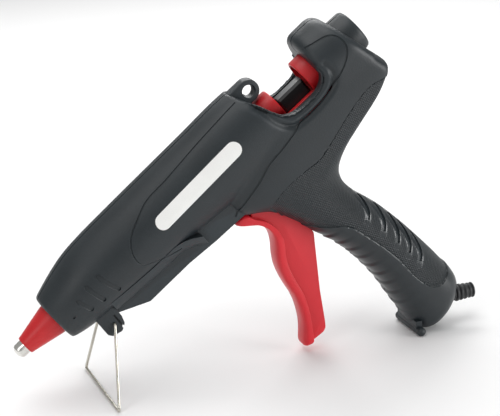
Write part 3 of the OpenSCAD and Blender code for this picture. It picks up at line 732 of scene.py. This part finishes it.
def carve(body):
    """Sinks the knurled skin a little and puts finger scallops on the front of the grip."""
    co, no = mesh_points(body), mesh_normals(body)
    p = local(co)
    flat = p[:, [0, 2]]
    knurled = inside(flat, KNURL_AREA) & (p[:, 2] < -22)
    sink = np.where(knurled, 0.65, 0.0)
    front = (p[:, 2] < -70) & (p[:, 2] > -160) & ~inside(flat, KNURL_AREA)
    lean = np.clip((-(no @ U) - 0.1) / 0.6, 0, 1)
    phase = np.mod((-p[:, 2] - 72) / 8.2, 1)
    tooth = np.where(phase < 0.82, phase / 0.82, (1 - phase) / 0.18)
    fade = np.clip((-p[:, 2] - 70) / 8, 0, 1) * np.clip((p[:, 2] + 158) / 8, 0, 1)
    sink = sink + np.where(front, 0.75 * tooth * lean * fade, 0)
    co = co - no * (sink * 0.001)[:, None]
    # the sides roll in at the bay's rim, inside a shallow valley
    cheek = np.clip((np.abs(p[:, 1]) - 9) / 5, 0, 1) * np.clip((np.abs(no[:, 1]) - 0.2) / 0.4, 0, 1)
    rim = line_distance(flat, smooth_line(BAY[3:], 1.0))
    dip = line_distance(flat, smooth_line(VALLEY, 1.0))
    ends = np.clip((22 - p[:, 2]) / 8, 0, 1)
    roll = (3.2 * np.clip(1 - rim / 4.5, 0, 1) ** 2 + 1.9 * np.exp(-(dip / 1.8) ** 2)) * cheek * ends
    co[:, 1] -= np.sign(p[:, 1]) * roll * 0.001
    body.data.vertices.foreach_set("co", co.ravel())
    body.data.update()


def grooves(body):
    """Cutters for the seams, panel line, vents and grip grooves, on both sides."""
    tree = BVHTree.FromObject(body, bpy.context.evaluated_depsgraph_get())
    tools = []
    for side in (-1, 1):
        for line, r, depth in ((PANEL, 0.5, 0.0), (SEAM_FRONT, 0.62, 0.0), (SEAM_REAR, 0.58, 0.0),
                               (GRIP_LINE, 0.34, 0.05)):
            path, normals = surface_line(tree, line, side)
            if len(path) > 3:
                tools.append(tube("groove", path + normals * depth, r, 10, normals))
        for line in VENTS:
            path, normals = surface_line(tree, line, side, 0.5)
            if len(path) > 2:
                slot = [(-1.5, 1.2), (-1.5, -0.35), (-1.2, -0.6), (1.2, -0.6), (1.5, -0.35), (1.5, 1.2)]
                tools.append(tube("vent", path, 0, 0, normals, section=slot, round_ends=1.5))
        for line in SCALES:
            path, normals = surface_line(tree, line, side, 0.6)
            if len(path) > 3:
                # deep at its rear edge, running out to nothing in front
                wedge = [(0.2, 1.5), (0.15, -0.6), (-0.1, -0.75), (-3.6, 0.1), (-3.6, 1.5)]
                if side < 0:
                    wedge = [(-a, b) for a, b in wedge][::-1]
                tools.append(tube("scale", path, 0, 0, normals, section=wedge))
    return tools


def shell_adds():
    """The ribs, screw columns, trigger bosses and relief seat that stand inside the shell."""
    adds = []
    for u, bore, t, r in ((36, 10.2, 2.6, 16.4), (64, 12.1, 2.4, 20.6), (111, 12.1, 2.4, 20.6), (140, 9.6, 2.4, 20.6),
                          (230.4, 11.75, 2.4, 21.4), (240, 12, 2.4, 21.4)):
        adds.append(revolve("rib", [(u, bore), (u, r), (u + t, r), (u + t, bore)]))
    for u, w in SCREWS:
        adds.append(cross_bar("column", (u, w), -17, 17, 4.6))
    for side in (-1, 1):
        adds.append(cross_bar("trigger_boss", TRIGGER_PIVOT, side * 8.2, side * 16.2, 5.4))
    # the bay's rim is thick, so that its lip can roll inwards
    edge = even(smooth_line(BAY[3:], 1.0), 70)
    out = np.stack([np.gradient(edge[:, 1]), -np.gradient(edge[:, 0])], 1)
    out /= np.linalg.norm(out, axis=1)[:, None]
    for side in (-1, 1):
        section = rounded([(0, 13.6), (3.4, 13.6), (3.4, 21), (0, 21)], [1.1, 1.1, 0, 0])
        adds.append(rings_solid("lip", [np.array([(u + a * du, side * y, w + a * dw) for a, y in section])
                                        for (u, w), (du, dw) in zip(edge, out)]))
    adds.append(round_bar("relief_seat", RELIEF_BASE - RELIEF_AXIS * 16, RELIEF_BASE + RELIEF_AXIS * 4, 9.5))
    return adds


def shrunk(o, depth):
    """A copy of a solid with its surface moved inwards."""
    co, no = mesh_points(o).ravel(), mesh_normals(o).ravel()
    small = o.copy()
    small.data = o.data.copy()
    bpy.context.scene.collection.objects.link(small)
    small.data.vertices.foreach_set("co", co - no * depth * 0.001)
    small.data.update()
    return small


def build_housing():
    outer = outer_solid()
    carve(outer)
    tools = grooves(outer)
    core, outer_copy = shrunk(outer, 0.9), shrunk(outer, 0)
    shell = outer
    shell.name = "shell"
    room = [(-2.8, WALL), (11, WALL)], [(WALL, WALL + 4), (WALL + 1.2, WALL + 1.6), (WALL + 3.6, WALL)]
    cavity = [body_loft("cavity_barrel", BARREL[2:], True, WALL, 72, 6),
              body_loft("cavity_grip", GRIP[:-2], False, WALL, 72, 6), head("cavity_head", *room),
              keel("cavity_keel", 11, WALL)]
    for c in cavity:
        boolean(shell, c, "DIFFERENCE")
    for a in shell_adds():
        boolean(a, core, "INTERSECT", keep_b=True)
        boolean(shell, a, "UNION")
    drop(core)
    # the head's front wall around the rear collar
    skin = shrunk(outer_copy, 0.12)
    wall = revolve("front_wall", [(228.9, 11.75), (228.9, 21.8), (231.2, 21.8), (231.2, 11.75)])
    boolean(wall, skin, "INTERSECT")
    boolean(shell, wall, "UNION")
    # the joint line between the halves
    joint = prism("joint", [(0, -230), (300, -230), (300, 80), (0, 80)], 0.42)
    boolean(joint, shrunk(outer_copy, 0.6), "DIFFERENCE")
    boolean(shell, joint, "DIFFERENCE")
    drop(outer_copy)
    boolean(shell, eye_plate(), "UNION")
    # openings, holes and screw wells
    cuts = [prism("trigger_nose", [(132, -34), (139, -29.5), (147, -27), (152, -27), (158, -36), (160.4, -46),
                                   (161, -56), (160, -64), (150, -70), (132, -70)], 7.9),
            prism("trigger_slot", [(140, -44), (150, -24), (170, -24), (186, -44), (188, -70), (182, -98),
                                   (174, -112), (150, -112)], 4.0),
            round_bar("nozzle_hole", (20, 0, 0), (34, 0, 0), 9.85, 96),
            round_bar("chamber_seat", (33, 0, 0), (36.1, 0, 0), 11.3, 96),
            round_bar("inlet_hole", (236, 0, 0), (276, 0, 0), 8.5, 96),
            cross_bar("eye_hole", EYE, -10, 10, EYE_HOLE, 64),
            cross_bar("stand_hole", STAND_PIVOT, -40, 40, 0.95),
            round_bar("relief_hole", RELIEF_BASE - RELIEF_AXIS * 30, RELIEF_BASE + RELIEF_AXIS * 30, 4.65),
            cross_bar("pin_hole", TRIGGER_PIVOT, -15.1, 15.1, 2.52)]
    for side in (-1, 1):
        # a small countersink softens each mouth of the hanging eye
        cuts.append(revolve("eye_mouth", [(0, 0), (0, EYE_HOLE - 0.2), (1.1, EYE_HOLE + 0.9), (3, EYE_HOLE + 0.9),
                                          (3, 0)], (EYE[0], side * 2.75, EYE[1]), (0, side, 0), 64))
    for u, w in SCREWS:
        cuts.append(cross_bar("screw_hole", (u, w), 0.5, 30, 1.75, 32))
        cuts.append(cross_bar("screw_well", (u, w), SCREW_HEAD_Y, 30, 3.3))
    for c in cuts:
        boolean(shell, c, "DIFFERENCE")
    for c in tools:
        boolean(shell, c, "DIFFERENCE")
    for name, side in (("housing_left", -1), ("housing_right", 1)):
        half = shell.copy()
        half.data = shell.data.copy()
        half.name = name + "_shell"
        bpy.context.scene.collection.objects.link(half)
        block = prism("block", [(0, -230), (300, -230), (300, 80), (0, 80)], 40, side * 40.09)
        boolean(half, block, "INTERSECT")
        mark(half)
        place(half, "gun", "housing", name, angle=28)
    drop(shell)


def mark(o):
    """Point attributes for the knurled skin and the glossy grooves."""
    p = local(mesh_points(o))
    flat = p[:, [0, 2]]
    knurl = inside(flat, KNURL_AREA).astype(np.float32)
    gloss = np.zeros(len(p), np.float32)
    for line in SCALES:
        near = line_distance(flat - [-2.0, -0.3], smooth_line(line, 1.0))
        gloss = np.maximum(gloss, np.clip((2.6 - near) / 0.8, 0, 1))
    knurl *= 1 - gloss
    front = (p[:, 2] < -66) & ~inside(flat, KNURL_AREA)
    gloss = np.where(front, np.maximum(gloss, 0.35), gloss).astype(np.float32)
    for name, values in (("knurl", knurl), ("gloss", gloss)):
        o.data.attributes.new(name, "FLOAT", "POINT").data.foreach_set("value", values.astype(np.float32))


build_housing()


# ---------------------------------------------------------------- side stripes

def stripe(name, side, ends, half):
    """A thin printed bar with round ends, lying on the side panel."""
    shells = [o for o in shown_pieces() if o.name == f"housing_{'left' if side < 0 else 'right'}_shell"]
    tree = BVHTree.FromObject(shells[0], bpy.context.evaluated_depsgraph_get())
    a, b = (np.array(e, float) for e in ends)
    along = (b - a) / np.linalg.norm(b - a)
    across = np.array([-along[1], along[0]])
    rows = []
    length = np.linalg.norm(b - a)
    for s in np.concatenate([-half * np.cos(np.linspace(0, math.pi / 2, 7)), np.linspace(0, length, 50)[1:-1],
                             length + half * np.sin(np.linspace(0, math.pi / 2, 7))]):
        over = max(-s, s - length, 0)
        reach = math.sqrt(max(half * half - over * over, 0)) + 0.03
        rows.append([a + along * s + across * reach * t for t in np.linspace(-1, 1, 9)])
    top, low = [], []
    for row in rows:
        for u, w in row:
            start = Vector(world([(u, side * 70, w)])[0])
            hit = tree.ray_cast(start, Vector((0, -side, 0)))[0]
            p = local([hit])[0]
            top.append(p + [0, side * 0.07, 0])
            low.append(p - [0, side * 0.25, 0])
    n, m = len(rows), 9
    faces = []
    for i in range(n - 1):
        for k in range(m - 1):
            q = [i * m + k, i * m + k + 1, (i + 1) * m + k + 1, (i + 1) * m + k]
            faces += [q, [v + n * m for v in q][::-1]]
    rim = ([i for i in range(m)] + [(i + 1) * m + m - 1 for i in range(n - 1)]
           + [(n - 1) * m + k for k in range(m - 2, -1, -1)] + [i * m for i in range(n - 2, 0, -1)])
    for i, j in zip(rim, rim[1:] + rim[:1]):
        faces.append([j, i, i + n * m, j + n * m])
    place(solid(name, np.array(top + low), faces), "gun", "white_plastic" if HAS_WHITE else "terminal",
          material="white_plastic", angle=50)


HAS_WHITE = any(m["slot"] == "white_plastic" for m in frame["record"]["materials"])
for tag, side in (("left", -1), ("right", 1)):
    stripe(f"side_stripe_{tag}", side, ((109, 5.6), (164, 7.3)), 4.6)


# ---------------------------------------------------------------- trigger

PAD_FRONT = [(144, -33), (139.2, -33.2), (137.9, -35.2), (139.6, -37.6), (142.6, -40.2), (146, -43), (148.6, -47.2),
             (149.8, -52), (149.2, -57), (146.4, -62.6), (142.6, -68), (139.4, -74), (137.2, -81), (135.8, -88.5),
             (134.8, -95.5), (132.6, -102.6), (128, -112), (120.5, -121.4), (118.6, -124.2)]
PAD_BACK = [(146.4, -34.6), (146.8, -36.4), (147.2, -38.2), (148.4, -40.6), (150.4, -43.6), (152, -46.6), (153, -50),
            (153.6, -54), (153.4, -57.4), (151.8, -63.2), (147.2, -70.4), (144, -77), (142, -84), (140.8, -90.4),
            (139.6, -96.8), (137.4, -103), (133.4, -111.6), (127.6, -121.4), (124.6, -126.6)]
WEB = [(147, -39.4), (152, -31), (163.5, -27), (168.4, -40), (170.4, -60), (168.2, -74.4), (148.4, -104.6),
       (138.6, -121.6), (136.2, -125.2), (133.6, -126.4), (125.4, -125.6), (128.6, -118), (134.6, -105), (137.6, -93),
       (139.4, -81), (143.6, -71), (150, -62), (151.2, -50)]


def trigger_pad():
    """A curved band: round-cornered across its front, flat behind, with a rounded nose and tip."""
    n = 110
    f, b = even(smooth_line(PAD_FRONT, 0.8), n), even(smooth_line(PAD_BACK, 0.8), n)
    rings, width, front_r = [], 7.25, 2.7
    for i in range(n):
        s = i / (n - 1)
        ends = min(1, math.sqrt(max(1e-4, 1 - (1 - min(1, s * n / 4)) ** 2)),
                   math.sqrt(max(1e-4, 1 - (1 - min(1, (1 - s) * n / 4)) ** 2)))
        mid = (f[i] + b[i]) / 2
        p, q = mid + (f[i] - mid) * (0.45 + 0.55 * ends), mid + (b[i] - mid) * (0.45 + 0.55 * ends)
        thick = np.linalg.norm(q - p)
        half = width * (0.62 + 0.38 * ends) * (1 - 0.05 * s)
        r = min(front_r, thick * 0.55)
        section = []
        for a in np.linspace(0, math.pi / 2, 8):
            section.append((half - r + r * math.sin(a), r - r * math.cos(a)))
        section += [(half, thick - 0.7), (half - 0.2, thick - 0.2), (half - 0.7, thick)]
        section = [(-y, d) for y, d in section[::-1]] + section
        section = section[len(section) // 2:] + section[:len(section) // 2]
        ring_points = []
        for y, d in section:
            c = p + (q - p) * min(1, d / max(thick, 1e-6))
            # the front is crowned across its width
            c = c - (q - p) / max(thick, 1e-6) * 0.35 * (1 - (y / half) ** 2) * (1 if d < 0.01 else 0)
            ring_points.append((c[0], y, c[1]))
        rings.append(np.array(ring_points))
    return rings_solid("pad", rings)


def build_trigger():
    outline = even(np.vstack([rounded(WEB, 1.2), rounded(WEB, 1.2)[:1]]), 220)[:-1]
    web = prism("web", outline, 3.5, edge=0.55)
    lever = trigger_pad()
    boolean(lever, web, "UNION")
    boolean(lever, cross_bar("hub", TRIGGER_PIVOT, -7, 7, 6, 64), "UNION")
    arm = [(TRIGGER_PIVOT[0] - 6, TRIGGER_PIVOT[1]), (DRIVE[0] - 4.4, DRIVE[1] + 2), (DRIVE[0] - 2.6, DRIVE[1] + 3.6),
           (DRIVE[0] + 2.6, DRIVE[1] + 3.6), (DRIVE[0] + 4.4, DRIVE[1] + 2), (TRIGGER_PIVOT[0] + 6, TRIGGER_PIVOT[1])]
    boolean(lever, prism("arm", rounded(arm, 0.8), 3.5, edge=0.4), "UNION")
    boolean(lever, cross_bar("bore", TRIGGER_PIVOT, -20, 20, 2.55), "DIFFERENCE")
    along = np.array([-math.sin(HALF_SWING), math.cos(HALF_SWING)]) * 0.5
    slot = [DRIVE + along * s + 1.85 * np.array([math.cos(a), math.sin(a)])
            for s, span in ((1, (-10, 190)), (-1, (170, 370)))
            for a in np.radians(np.linspace(span[0] + 10, span[1] - 10, 14))]
    boolean(lever, prism("slot", slot, 10), "DIFFERENCE")
    lever.name = "trigger_lever"
    place(lever, "trigger", "trigger_red", "trigger", angle=30)


build_trigger()


# ---------------------------------------------------------------- nozzle sleeve, stand, relief, feed

def build_sleeve():
    profile = [(6.4, 4.6), (6.4, 5.0), (6.55, 5.35), (6.9, 5.55), (8.2, 5.75), (26.4, 9.62), (27.4, 9.75),
               (33.3, 9.75), (33.3, 10.8), (33.6, 11.1), (35.6, 11.1), (35.9, 10.8), (35.9, 6.35), (23.9, 6.35),
               (23.9, 5.02), (9.2, 5.02), (9.2, 4.6)]
    place(revolve("silicone_sleeve", profile, sides=128), "gun", "sleeve_red", "nozzle_sleeve")


def build_stand():
    """One wire: an end turned into each lug, two legs and the bar that rests on the table."""
    box_low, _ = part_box("wire_stand")
    r = 0.85
    bar = local([(float(box_low.x) + (r + 0.06) * 0.001, 0, float(box_low.z) + (r + 0.06) * 0.001)])[0]
    half, out = 34.0, 13.9
    corner = [(STAND_PIVOT[0], -5.5, STAND_PIVOT[1]), (STAND_PIVOT[0], -out, STAND_PIVOT[1]), (bar[0], -half, bar[2]),
              (bar[0], half, bar[2]), (STAND_PIVOT[0], out, STAND_PIVOT[1]), (STAND_PIVOT[0], 5.5, STAND_PIVOT[1])]
    p = np.array(corner, float)
    path = [p[0]]
    for i in range(1, len(p) - 1):
        a, b, c = p[i - 1], p[i], p[i + 1]
        d0, d1 = (a - b) / np.linalg.norm(a - b), (c - b) / np.linalg.norm(c - b)
        reach = 2.2 if i in (2, 3) else 1.0
        for t in np.linspace(0, 1, 9):
            path.append((1 - t) ** 2 * (b + d0 * reach) + 2 * t * (1 - t) * b + t * t * (b + d1 * reach))
    path.append(p[-1])
    path = np.array(path)
    dense = [path[0]]
    for a, b in zip(path[:-1], path[1:]):
        n = max(1, int(np.linalg.norm(b - a) / 2))
        dense += [a + (b - a) * k / n for k in range(1, n + 1)]
    place(wire("bent_wire", np.array(dense), r, 20), "stand", "stand_wire", "wire_stand", angle=60)


def wire(name, path, r, sides):
    """A round wire whose section doesn't twist along its path."""
    t = np.gradient(path, axis=0)
    t /= np.linalg.norm(t, axis=1, keepdims=True)
    side = np.cross(t[0], [0.3, 0.1, 1.0])
    side /= np.linalg.norm(side)
    rings = []
    for i in range(len(path)):
        side = side - t[i] * (side @ t[i])
        side /= np.linalg.norm(side)
        other = np.cross(t[i], side)
        rings.append(np.array([path[i] + r * (math.cos(a) * side + math.sin(a) * other)
                               for a in np.linspace(0, 2 * math.pi, sides, endpoint=False)]))
    return rings_solid(name, rings)


def coil(name, start, end, radius, wire_r, turns, closed=1.5):
    """A compression spring with closed ends."""
    start, end = np.array(start, float), np.array(end, float)
    axis = end - start
    length = np.linalg.norm(axis)
    axis = axis / length
    side = np.cross(axis, [0, 1, 0.01])
    side /= np.linalg.norm(side)
    other = np.cross(axis, side)
    a = np.linspace(0, 2 * math.pi * turns, int(turns * 20))
    s = a / a[-1]
    flat = closed / turns
    rise = np.interp(s, [0, flat, 1 - flat, 1], [wire_r, wire_r + 2 * wire_r * closed, length - wire_r
                                                 - 2 * wire_r * closed, length - wire_r])
    path = np.array([start + axis * h + radius * (math.cos(v) * side + math.sin(v) * other) for h, v in zip(rise, a)])
    return wire(name, path, wire_r, 8)


def build_springs():
    place(coil("coil_nozzle", (17, 0, 0), (32.6, 0, 0), 2.0, 0.3, 10), "gun", "spring_steel", "nozzle_spring")
    stretched = (("coil_return", (156, 11.5, -11.5), (186, 11.5, -11.5), 0.35, 13, "gun", "carriage", "return_spring"),
                 ("coil_gripper", (211.2, 0, -21.8), (211.2, 0, -3.2), 0.33, 9, "carriage", "gripper",
                  "gripper_spring"))
    for name, start, end, wire_r, turns, body_a, body_b, stands_for in stretched:
        spring = coil(name, start, end, 1.95, wire_r, turns)
        spring.data.materials.append(MATS["spring_steel"])
        shade(spring)
        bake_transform(spring)
        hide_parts(stands_for)


def build_relief():
    """A ribbed rubber sleeve with a small end collar."""
    profile = [(-14, 3.2), (-14, 4.4), (-13.8, 4.55), (-9, 4.55), (-9, 6.5), (-6, 6.5), (-6, 4.55), (0.3, 4.5)]
    r = 5.25
    for i in range(4):
        z = 0.8 + i * 2.8
        profile += [(z - 0.25, 4.25), (z, r - 0.5), (z + 0.3, r - 0.1), (z + 0.8, r), (z + 1.3, r - 0.1),
                    (z + 1.7, r - 0.45), (z + 1.9, 4.15)]
        r -= 0.2
    profile += [(11.6, 3.95), (11.8, 4.5), (12.0, 4.65), (12.6, 4.6), (12.8, 4.3), (12.8, 3.2)]
    place(revolve("cord_sleeve", profile, RELIEF_BASE, RELIEF_AXIS, 72), "gun", "relief_rubber", "strain_relief",
          angle=40)


def build_carriage():
    """Two round collars on a frame of cheeks and cross plates, with their front edges rounded."""
    front = [(189, 6.4), (189, 8.3), (189.4, 8.8), (193.6, 9.95), (194.4, 10.15), (199.4, 10.2), (200.4, 10.1),
             (200.99, 9.6), (200.99, 8.72), (196.5, 6.3), (196.3, 6.4)]
    rear = [(221.4, 9.8), (221.4, 10.8), (221.9, 11.3), (222.4, 11.4), (232.4, 11.4), (233.2, 11.2), (233.4, 10.8),
            (233.4, 6.4), (230, 6.4), (230, 9.8)]
    body = revolve("carriage_frame", front)
    boolean(body, revolve("rear", rear), "UNION")
    drive_u, drive_w = DRIVE
    for side in (-1, 1):
        cheek = rounded([(190, -24), (229.4, -24), (229.4, -6.8), (190, -6.8)], 1.2)
        boolean(body, prism("cheek", cheek, 1.6, side * 6.6, edge=0.4), "UNION")
        arm = rounded([(drive_u - 4.6, drive_w - 4), (195, drive_w - 4), (195, drive_w + 3.6),
                       (drive_u - 4.6, drive_w + 3.6)], 1.2)
        boolean(body, prism("arm", arm, 1.58, side * 6.6, edge=0.4), "UNION")
    boolean(body, prism("floor_plate", rounded([(194, -24), (228, -24), (228, -22), (194, -22)], 0.4), 7.9), "UNION")
    boolean(body, prism("bridge", rounded([(180, drive_w - 4), (194, drive_w - 4), (194, drive_w - 1.4),
                                          (180, drive_w - 1.4)], 0.4), 7.9), "UNION")
    boolean(body, prism("spring_ear", rounded([(186, -14), (189, -14), (189, -9), (186, -9)], 0.5), 3.6, 10.3,
                        edge=0.3), "UNION")
    boolean(body, round_bar("passage", (180, 0, 0), (240, 0, 0), 6.4, 64), "DIFFERENCE")
    boolean(body, revolve("cup", [(196.5, 0), (196.5, 6.3), (201.1, 8.75), (221.0, 8.75), (221.0, 9.8), (230, 9.8),
                                  (230, 0)]), "DIFFERENCE")
    boolean(body, cross_bar("drive_hole", DRIVE, -20, 20, 1.62, 40), "DIFFERENCE")
    boolean(body, prism("gripper_well", [(201, -21.9), (221.4, -21.9), (221.4, 18), (201, 18)], 5), "DIFFERENCE")
    place(body, "carriage", "carriage_red", "feed_carriage", angle=30)


def build_gripper():
    """A bar that lies under the stick, with its flat top given a lighter grey as a painted highlight from the light
    above.
    """
    u0, u1, top, low = 201.6, 220.8, 2.0, -10.4
    outline = rounded([(u0, low), (u1, low), (u1, top), (u0, top)], [0.8, 0.8, 0.6, 2.2])
    bar = prism("gripper_bar", outline, 4.1, edge=1.3, steps=2)
    boolean(bar, round_bar("spring_pocket", (211.2, 0, -12), (211.2, 0, -3), 2.8, 40), "DIFFERENCE")
    place(bar, "gripper", "gripper", "stick_gripper", angle=30)
    # the faces that look up take a lighter grey finish: a painted highlight for the light falling on the flat top
    bar.data.materials.append(finish_material("gripper_painted_highlight_top", (0.13, 0.135, 0.14), 0.34, grain=0.5, depth=0.012,
                                              streak=(0.2, 1, 1)))
    for poly in bar.data.polygons:
        if Vector(W).dot(poly.normal) > 0.9:
            poly.material_index = 1


def build_screws():
    """Pan-head screws with cross recesses, seen in the wells of the right half."""
    made = []
    for i, (u, w) in enumerate(SCREWS):
        y = SCREW_HEAD_Y
        head_profile = [(-18, 0), (-18, 0.5), (-16.6, 1.42), (-15.5, 1.2), (0, 1.42), (0, 2.7), (0.3, 2.9), (0.9, 2.9),
                        (1.5, 2.5), (1.9, 1.7), (2.0, 0)]
        screw = revolve("screw", head_profile, (u, y, w), (0, 1, 0), 40)
        turn = 0.4 + 0.9 * i
        for k in (0, 1):
            c, s = math.cos(turn + k * math.pi / 2), math.sin(turn + k * math.pi / 2)
            blade = [(u + a * c - b * s, w + a * s + b * c) for a, b in ((-1.7, -0.3), (1.7, -0.3), (1.7, 0.3),
                                                                        (-1.7, 0.3))]
            boolean(screw, prism("blade", blade, 1, y + 1.9), "DIFFERENCE")
        made.append(screw)
    place(merge("case_screws", made), "gun", "screws", "housing_screws", angle=30)


for build in (build_sleeve, build_stand, build_springs, build_relief, build_carriage, build_gripper, build_screws):
    build()

# two of the CAD nodes that stay get softened edges
for name, width in (("nozzle_tip", 0.25), ("stick_guide", 0.35)):
    o = frame["nodes"][name]
    weld = o.modifiers.new("weld", "WELD")
    weld.merge_threshold = 2e-6
    clean = o.modifiers.new("clean", "DECIMATE")
    clean.decimate_type, clean.angle_limit = "DISSOLVE", math.radians(1)
    edge = o.modifiers.new("edges", "BEVEL")
    edge.width, edge.segments, edge.limit_method = width * 0.001, 3, "ANGLE"
    edge.angle_limit = math.radians(35)

# ---------------------------------------------------------------- floor

floor_mesh = bpy.data.meshes.new("floor")
floor_mesh.from_pydata([(-6, -6, 0), (6, -6, 0), (6, 6, 0), (-6, 6, 0)], [], [(0, 1, 2, 3)])
floor = bpy.data.objects.new("floor", floor_mesh)
bpy.context.scene.collection.objects.link(floor)
paper = bpy.data.materials.new("paper")
paper.use_nodes = True
paper.node_tree.nodes["Principled BSDF"].inputs["Base Color"].default_value = (0.9, 0.9, 0.9, 1)
paper.node_tree.nodes["Principled BSDF"].inputs["Roughness"].default_value = 0.9
floor_mesh.materials.append(paper)
